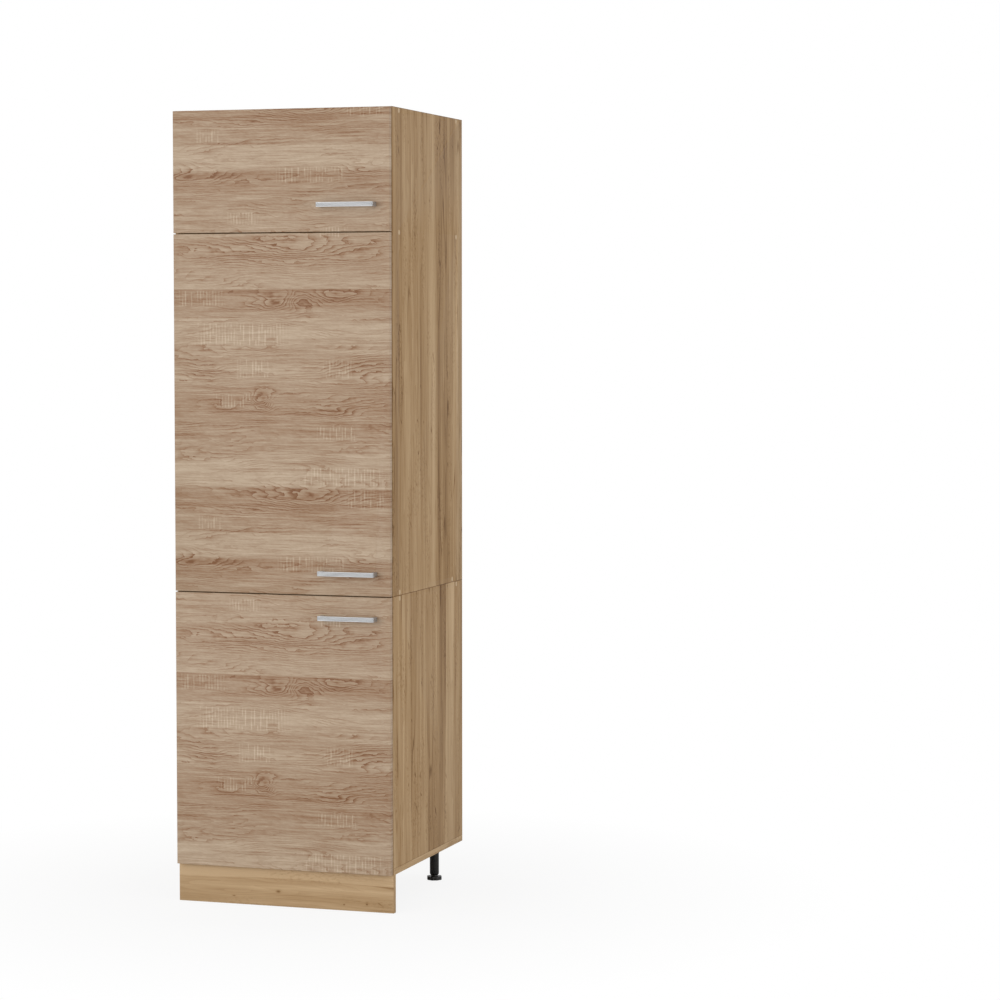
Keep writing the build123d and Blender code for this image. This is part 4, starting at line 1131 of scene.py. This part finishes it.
class FRIDGEUNIT_OT_hinges(bpy.types.Operator):
    """Model the concealed hinges: cups, links, arms, mounting plates and their screws"""

    bl_idname = "fridgeunit.hinges"
    bl_label = "Hinges"

    def execute(self, context):
        nickel = plated_steel("nickel_plated_pressed_steel", *NICKEL)
        zinc = plated_steel("zinc_plated_screw", *ZINC)
        edge = sizes().sheet_edge
        heights = []
        for door in DOORS:
            low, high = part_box(f"door_panel_{door}")
            heights += [low[2] + HINGE_INSET * MM, high[2] - HINGE_INSET * MM]
            across, back = metres(SIDE_INNER + CUP_FROM_SIDE, DOOR_BACK)
            places = [((across, back, height), (0, 1, 0)) for height in heights[-2:]]
            cups = copies(self.cup(), f"pressed_hinge_cups_{door}", places)
            stand_for(cups, f"door_{door}", "nickel_steel", nickel, f"hinge_cups_{door}")
            for links in (f"inner_links_{door}", f"outer_links_{door}"):
                pressed = refined(f"pressed_{links}", links, edge)
                stand_for(pressed, f"{links}_body", "nickel_steel", nickel, links)
            screw = cross_screw("screw_model", CUP_SCREW)
            places = heads_of(f"cup_screws_{door}", (0, 1, 0))
            screws = copies(screw, f"cross_headed_cup_screws_{door}", places)
            stand_for(screws, f"door_{door}", "zinc_steel", zinc, f"cup_screws_{door}")
        arms = refined("pressed_hinge_arms", "hinge_arms", edge)
        stand_for(arms, "carcass", "nickel_steel", nickel, "hinge_arms")
        plates = refined("pressed_mounting_plates", "hinge_plates", edge)
        stand_for(plates, "carcass", "nickel_steel", nickel, "hinge_plates")
        screw = cross_screw("screw_model", PLATE_SCREW)
        places = heads_of("hinge_plate_screws", (1, 0, 0), PLATE_SCREW_PROUD)
        screws = copies(screw, "cross_headed_plate_screws", places)
        stand_for(screws, "carcass", "zinc_steel", zinc, "hinge_plate_screws")
        places = []
        for height in heights:
            for depth in ARM_SCREWS:
                across, back = metres(SIDE_INNER + ARM_SCREW_TOP, FRONT_EDGE + depth)
                places.append(((across, back, height), (1, 0, 0)))
        screw = cross_screw("screw_model", ARM_SCREW)
        screws = copies(screw, "cross_headed_arm_screws", places)
        stand_for(screws, "carcass", "zinc_steel", zinc)
        return {"FINISHED"}

    def cup(self):
        """A flanged pan with two ears, a notch for the links, brackets and their pins. It opens to +Z."""
        depth = -CUP_DEPTH
        steps = (
            (depth, CUP_RADIUS - 1), (depth + 0.4, CUP_RADIUS), (0, CUP_RADIUS), (0, CUP_FLANGE_RADIUS),
            (EAR_SHEET - 0.3, CUP_FLANGE_RADIUS), (EAR_SHEET, CUP_FLANGE_RADIUS - 0.3),
            (EAR_SHEET, CUP_RADIUS - CUP_SHEET + 0.4), (EAR_SHEET - 0.4, CUP_RADIUS - CUP_SHEET),
            (depth + CUP_SHEET, CUP_RADIUS - CUP_SHEET),
        )
        pan = lathe("cup_model", steps, sides=48)
        cut(pan, block("notch", *(metres(*corner) for corner in CUP_NOTCH)))
        smooth(pan)
        offset = EAR_FROM_SIDE - CUP_FROM_SIDE

        def outer_corner(first, second):
            return abs(first.z - second.z) > 1 * MM and abs(first.y) > (EAR_REACH - 1) * MM

        def top_corner(first, second):
            return min(first.z, second.z) > -1 * MM and abs(first.y - second.y) > 1 * MM

        pieces = [pan]
        for side in (-1, 1):
            near, far = sorted((side * EAR_START, side * EAR_REACH))
            ear = block("ear", metres(offset - EAR_WIDTH / 2, near, 0),
                        metres(offset + EAR_WIDTH / 2, far, EAR_SHEET - 0.04))
            choose(ear, outer_corner, "edges")
            bpy.ops.mesh.bevel(offset=EAR_CORNER * MM, segments=8, affect="EDGES")
            bpy.ops.object.mode_set(mode="OBJECT")
            soften(ear, sizes().sheet_edge)
            near, far = sorted((side * PIN_BRACKET[0], side * PIN_BRACKET[1]))
            bracket = block("bracket", metres(BRACKET_REACH[0], near, depth + 0.4),
                            metres(BRACKET_REACH[1], far, BRACKET_TOP))
            choose(bracket, top_corner, "edges")
            bpy.ops.mesh.bevel(offset=BRACKET_CORNER * MM, segments=5, affect="EDGES")
            bpy.ops.object.mode_set(mode="OBJECT")
            pieces += [ear, bracket]
        for across, back in CUP_PINS:
            pin = lathe("pin", CUP_PIN, sides=16)
            pin.rotation_euler = (pi / 2, 0, 0)
            pieces.append(moved(pin, metres(across - CUP_FROM_SIDE, 0, back + FRONT_EDGE - DOOR_BACK)))
        return joined(pieces, "cup_model")


class FRIDGEUNIT_OT_fittings(bpy.types.Operator):
    """Model the screws, sleeves, shelf pins and buffers, and finish the hidden dowels"""

    bl_idname = "fridgeunit.fittings"
    bl_label = "Fittings"

    def execute(self, context):
        zinc = plated_steel("zinc_plated_steel", *ZINC)
        nickel = plated_steel("nickel_plated_turned_steel", *NICKEL)
        buffer = moulded_plastic("cast_clear_polyurethane", "#d9dad6", "#cfd0cb", 0.2, 0.3, 1.0)
        finish_node("wooden_dowels", turned_beech())
        self.fastened("leg_screws", (0, 0, -1), PAN_HEAD_SCREW, zinc)
        self.fastened("plinth_clip_screws", (0, 1, 0), PAN_HEAD_SCREW, zinc)
        self.fastened("joining_screws", (0, 0, -1), JOINING_SCREW, zinc)
        self.fastened("joining_sleeves", (0, 0, 1), JOINING_SLEEVE, zinc, SLEEVE_PROUD)
        self.countersunk(zinc)
        for door in DOORS:
            self.fastened(f"handle_screws_{door}", (0, 1, 0), HANDLE_SCREW, zinc, body=f"door_{door}")
            dome = lathe("dome", BUFFER_DOME, sides=24)
            domes = copies(dome, f"domed_buffers_{door}", heads_of(f"door_bumpers_{door}", (0, 1, 0)))
            smooth(domes, 60)
            stand_for(domes, f"door_{door}", "clear_rubber", buffer, f"door_bumpers_{door}")
        self.pins(nickel)
        return {"FINISHED"}

    def fastened(self, node, axis, steps, material, proud=0.0, body="carcass"):
        """All of a CAD node's fasteners as round screws with a cross recess."""
        screw = cross_screw("screw_model", steps)
        screws = copies(screw, f"cross_headed_{node}", heads_of(node, axis, proud))
        stand_for(screws, body, "zinc_steel", material, node)

    def countersunk(self, material):
        """The carcass screws: level ones under the caps, upright ones flush under the bottom board."""
        places = []
        for low, high, middle in solids_of("carcass_screws"):
            if high[2] - low[2] > high[0] - low[0]:
                places.append(((middle[0], middle[1], low[2] - UPRIGHT_SCREW_GAP * MM), (0, 0, -1)))
            else:
                side = 1 if middle[0] > 0 else -1
                place = (high if side > 0 else low)[0]
                places.append(((place, middle[1], middle[2]), (side, 0, 0)))
        screws = copies(cross_screw("screw_model", CARCASS_SCREW), "cross_headed_carcass_screws", places)
        stand_for(screws, "carcass", "zinc_steel", material, "carcass_screws")

    def pins(self, material):
        """Turned pins with a collar, which carry the shelf."""
        places = []
        for low, high, middle in solids_of("shelf_pins"):
            side = 1 if middle[0] > 0 else -1
            place = (low if side > 0 else high)[0]
            places.append(((place, middle[1], SHELF_PIN_HEIGHT * MM), (-side, 0, 0)))
        pins = copies(lathe("pin_model", SHELF_PIN, sides=24), "turned_shelf_pins", places)
        smooth(pins)
        stand_for(pins, "carcass", "nickel_steel", material, "shelf_pins")


class FRIDGEUNIT_OT_stage(bpy.types.Operator):
    """Set up the floor, the soft lights and the camera"""

    bl_idname = "fridgeunit.stage"
    bl_label = "Stage"

    def execute(self, context):
        scene = context.scene
        scene.view_settings.view_transform = "Standard"
        self.world(scene)
        self.floor()
        for name, settings in LIGHTS.items():
            self.light(name, *settings)
        deselect()
        bpy.ops.object.camera_add(location=CAMERA_PLACE, rotation=CAMERA_TURN)
        camera = bpy.context.object
        camera.name = "photograph_camera"
        camera.data.lens = CAMERA_LENS_MM
        camera.data.sensor_width = 36.0
        camera.data.clip_end = 100.0
        scene.camera = camera
        return {"FINISHED"}

    def world(self, scene):
        """Even white surroundings, seen as plain white."""
        world = bpy.data.worlds.new("studio")
        scene.world = world
        world.use_nodes = True
        tree = world.node_tree
        tree.nodes.clear()
        path = add(tree, "LightPath")
        rays = [path.outputs[f"Is {kind} Ray"] for kind in ("Camera", "Transmission", "Glossy")]
        light = add(tree, "Background", {"Color": WHITE, "Strength": 0.7})
        white = add(tree, "Background", {"Color": WHITE, "Strength": 1.0})
        mixed = add(tree, "MixShader", (gathered(tree, "MAXIMUM", rays), light, white))
        add(tree, "OutputWorld", {"Surface": mixed})

    def floor(self):
        """A wide pale floor that keeps a soft shadow and otherwise reads as white."""
        deselect()
        bpy.ops.mesh.primitive_plane_add(size=40.0, location=(0, 0, 0))
        floor = bpy.context.object
        floor.name = "studio_floor"
        material, tree = new_material("matt_white_floor")
        diffuse = add(tree, "BsdfDiffuse", {"Color": (0.8, 0.8, 0.8, 1.0)})
        glow = add(tree, "Emission", {"Color": WHITE, "Strength": 1.0})
        place = add(tree, "TexCoord").outputs["Object"]
        away = add(tree, "VectorMath", (place,), operation="LENGTH").outputs["Value"]
        share = add(tree, "MapRange", (away, 0.5, 1.4, 0.88, 1.0))
        camera_ray = add(tree, "LightPath").outputs["Is Camera Ray"]
        share = add(tree, "Math", (camera_ray, share), operation="MULTIPLY")
        mixed = add(tree, "MixShader", (share, diffuse, glow))
        add(tree, "OutputMaterial", {"Surface": mixed})
        dress(floor, material)

    def light(self, name, place, target, size, power):
        """A square soft light aimed at a point."""
        deselect()
        aim = (Vector(target) - Vector(place)).to_track_quat("-Z", "Y").to_euler()
        bpy.ops.object.light_add(type="AREA", location=place, rotation=aim)
        lamp = bpy.context.object
        lamp.name = name
        lamp.data.shape = "SQUARE"
        lamp.data.size = size
        lamp.data.energy = power


OPERATORS = (
    FRIDGEUNIT_OT_doors,
    FRIDGEUNIT_OT_carcass,
    FRIDGEUNIT_OT_backs,
    FRIDGEUNIT_OT_handles,
    FRIDGEUNIT_OT_caps,
    FRIDGEUNIT_OT_legs,
    FRIDGEUNIT_OT_hinges,
    FRIDGEUNIT_OT_fittings,
    FRIDGEUNIT_OT_stage,
)


class FRIDGEUNIT_PT_panel(bpy.types.Panel):
    """Sidebar panel that lists the pieces"""

    bl_idname = "FRIDGEUNIT_PT_panel"
    bl_label = "Fridge housing unit"
    bl_space_type = "VIEW_3D"
    bl_region_type = "UI"
    bl_category = "Fridge unit"

    def draw(self, context):
        for group in (context.scene.fridge_unit_sizes, context.scene.fridge_unit_colours):
            for name in group.__annotations__:
                self.layout.prop(group, name)
        for operator in OPERATORS:
            self.layout.operator(operator.bl_idname)


CLASSES = (FridgeUnitColours, FridgeUnitSizes) + OPERATORS + (FRIDGEUNIT_PT_panel,)


def register():
    """Register the classes and hang the settings on the scene."""
    for each in CLASSES:
        bpy.utils.register_class(each)
    bpy.types.Scene.fridge_unit_colours = bpy.props.PointerProperty(type=FridgeUnitColours)
    bpy.types.Scene.fridge_unit_sizes = bpy.props.PointerProperty(type=FridgeUnitSizes)


def unregister():
    """Take the settings and the classes away again."""
    del bpy.types.Scene.fridge_unit_sizes
    del bpy.types.Scene.fridge_unit_colours
    for each in reversed(CLASSES):
        bpy.utils.unregister_class(each)


def main():
    """Dress the unit."""
    register()
    for operator in OPERATORS:
        group, name = operator.bl_idname.split(".")
        getattr(getattr(bpy.ops, group), name)()


if __name__ == "__main__":
    main()
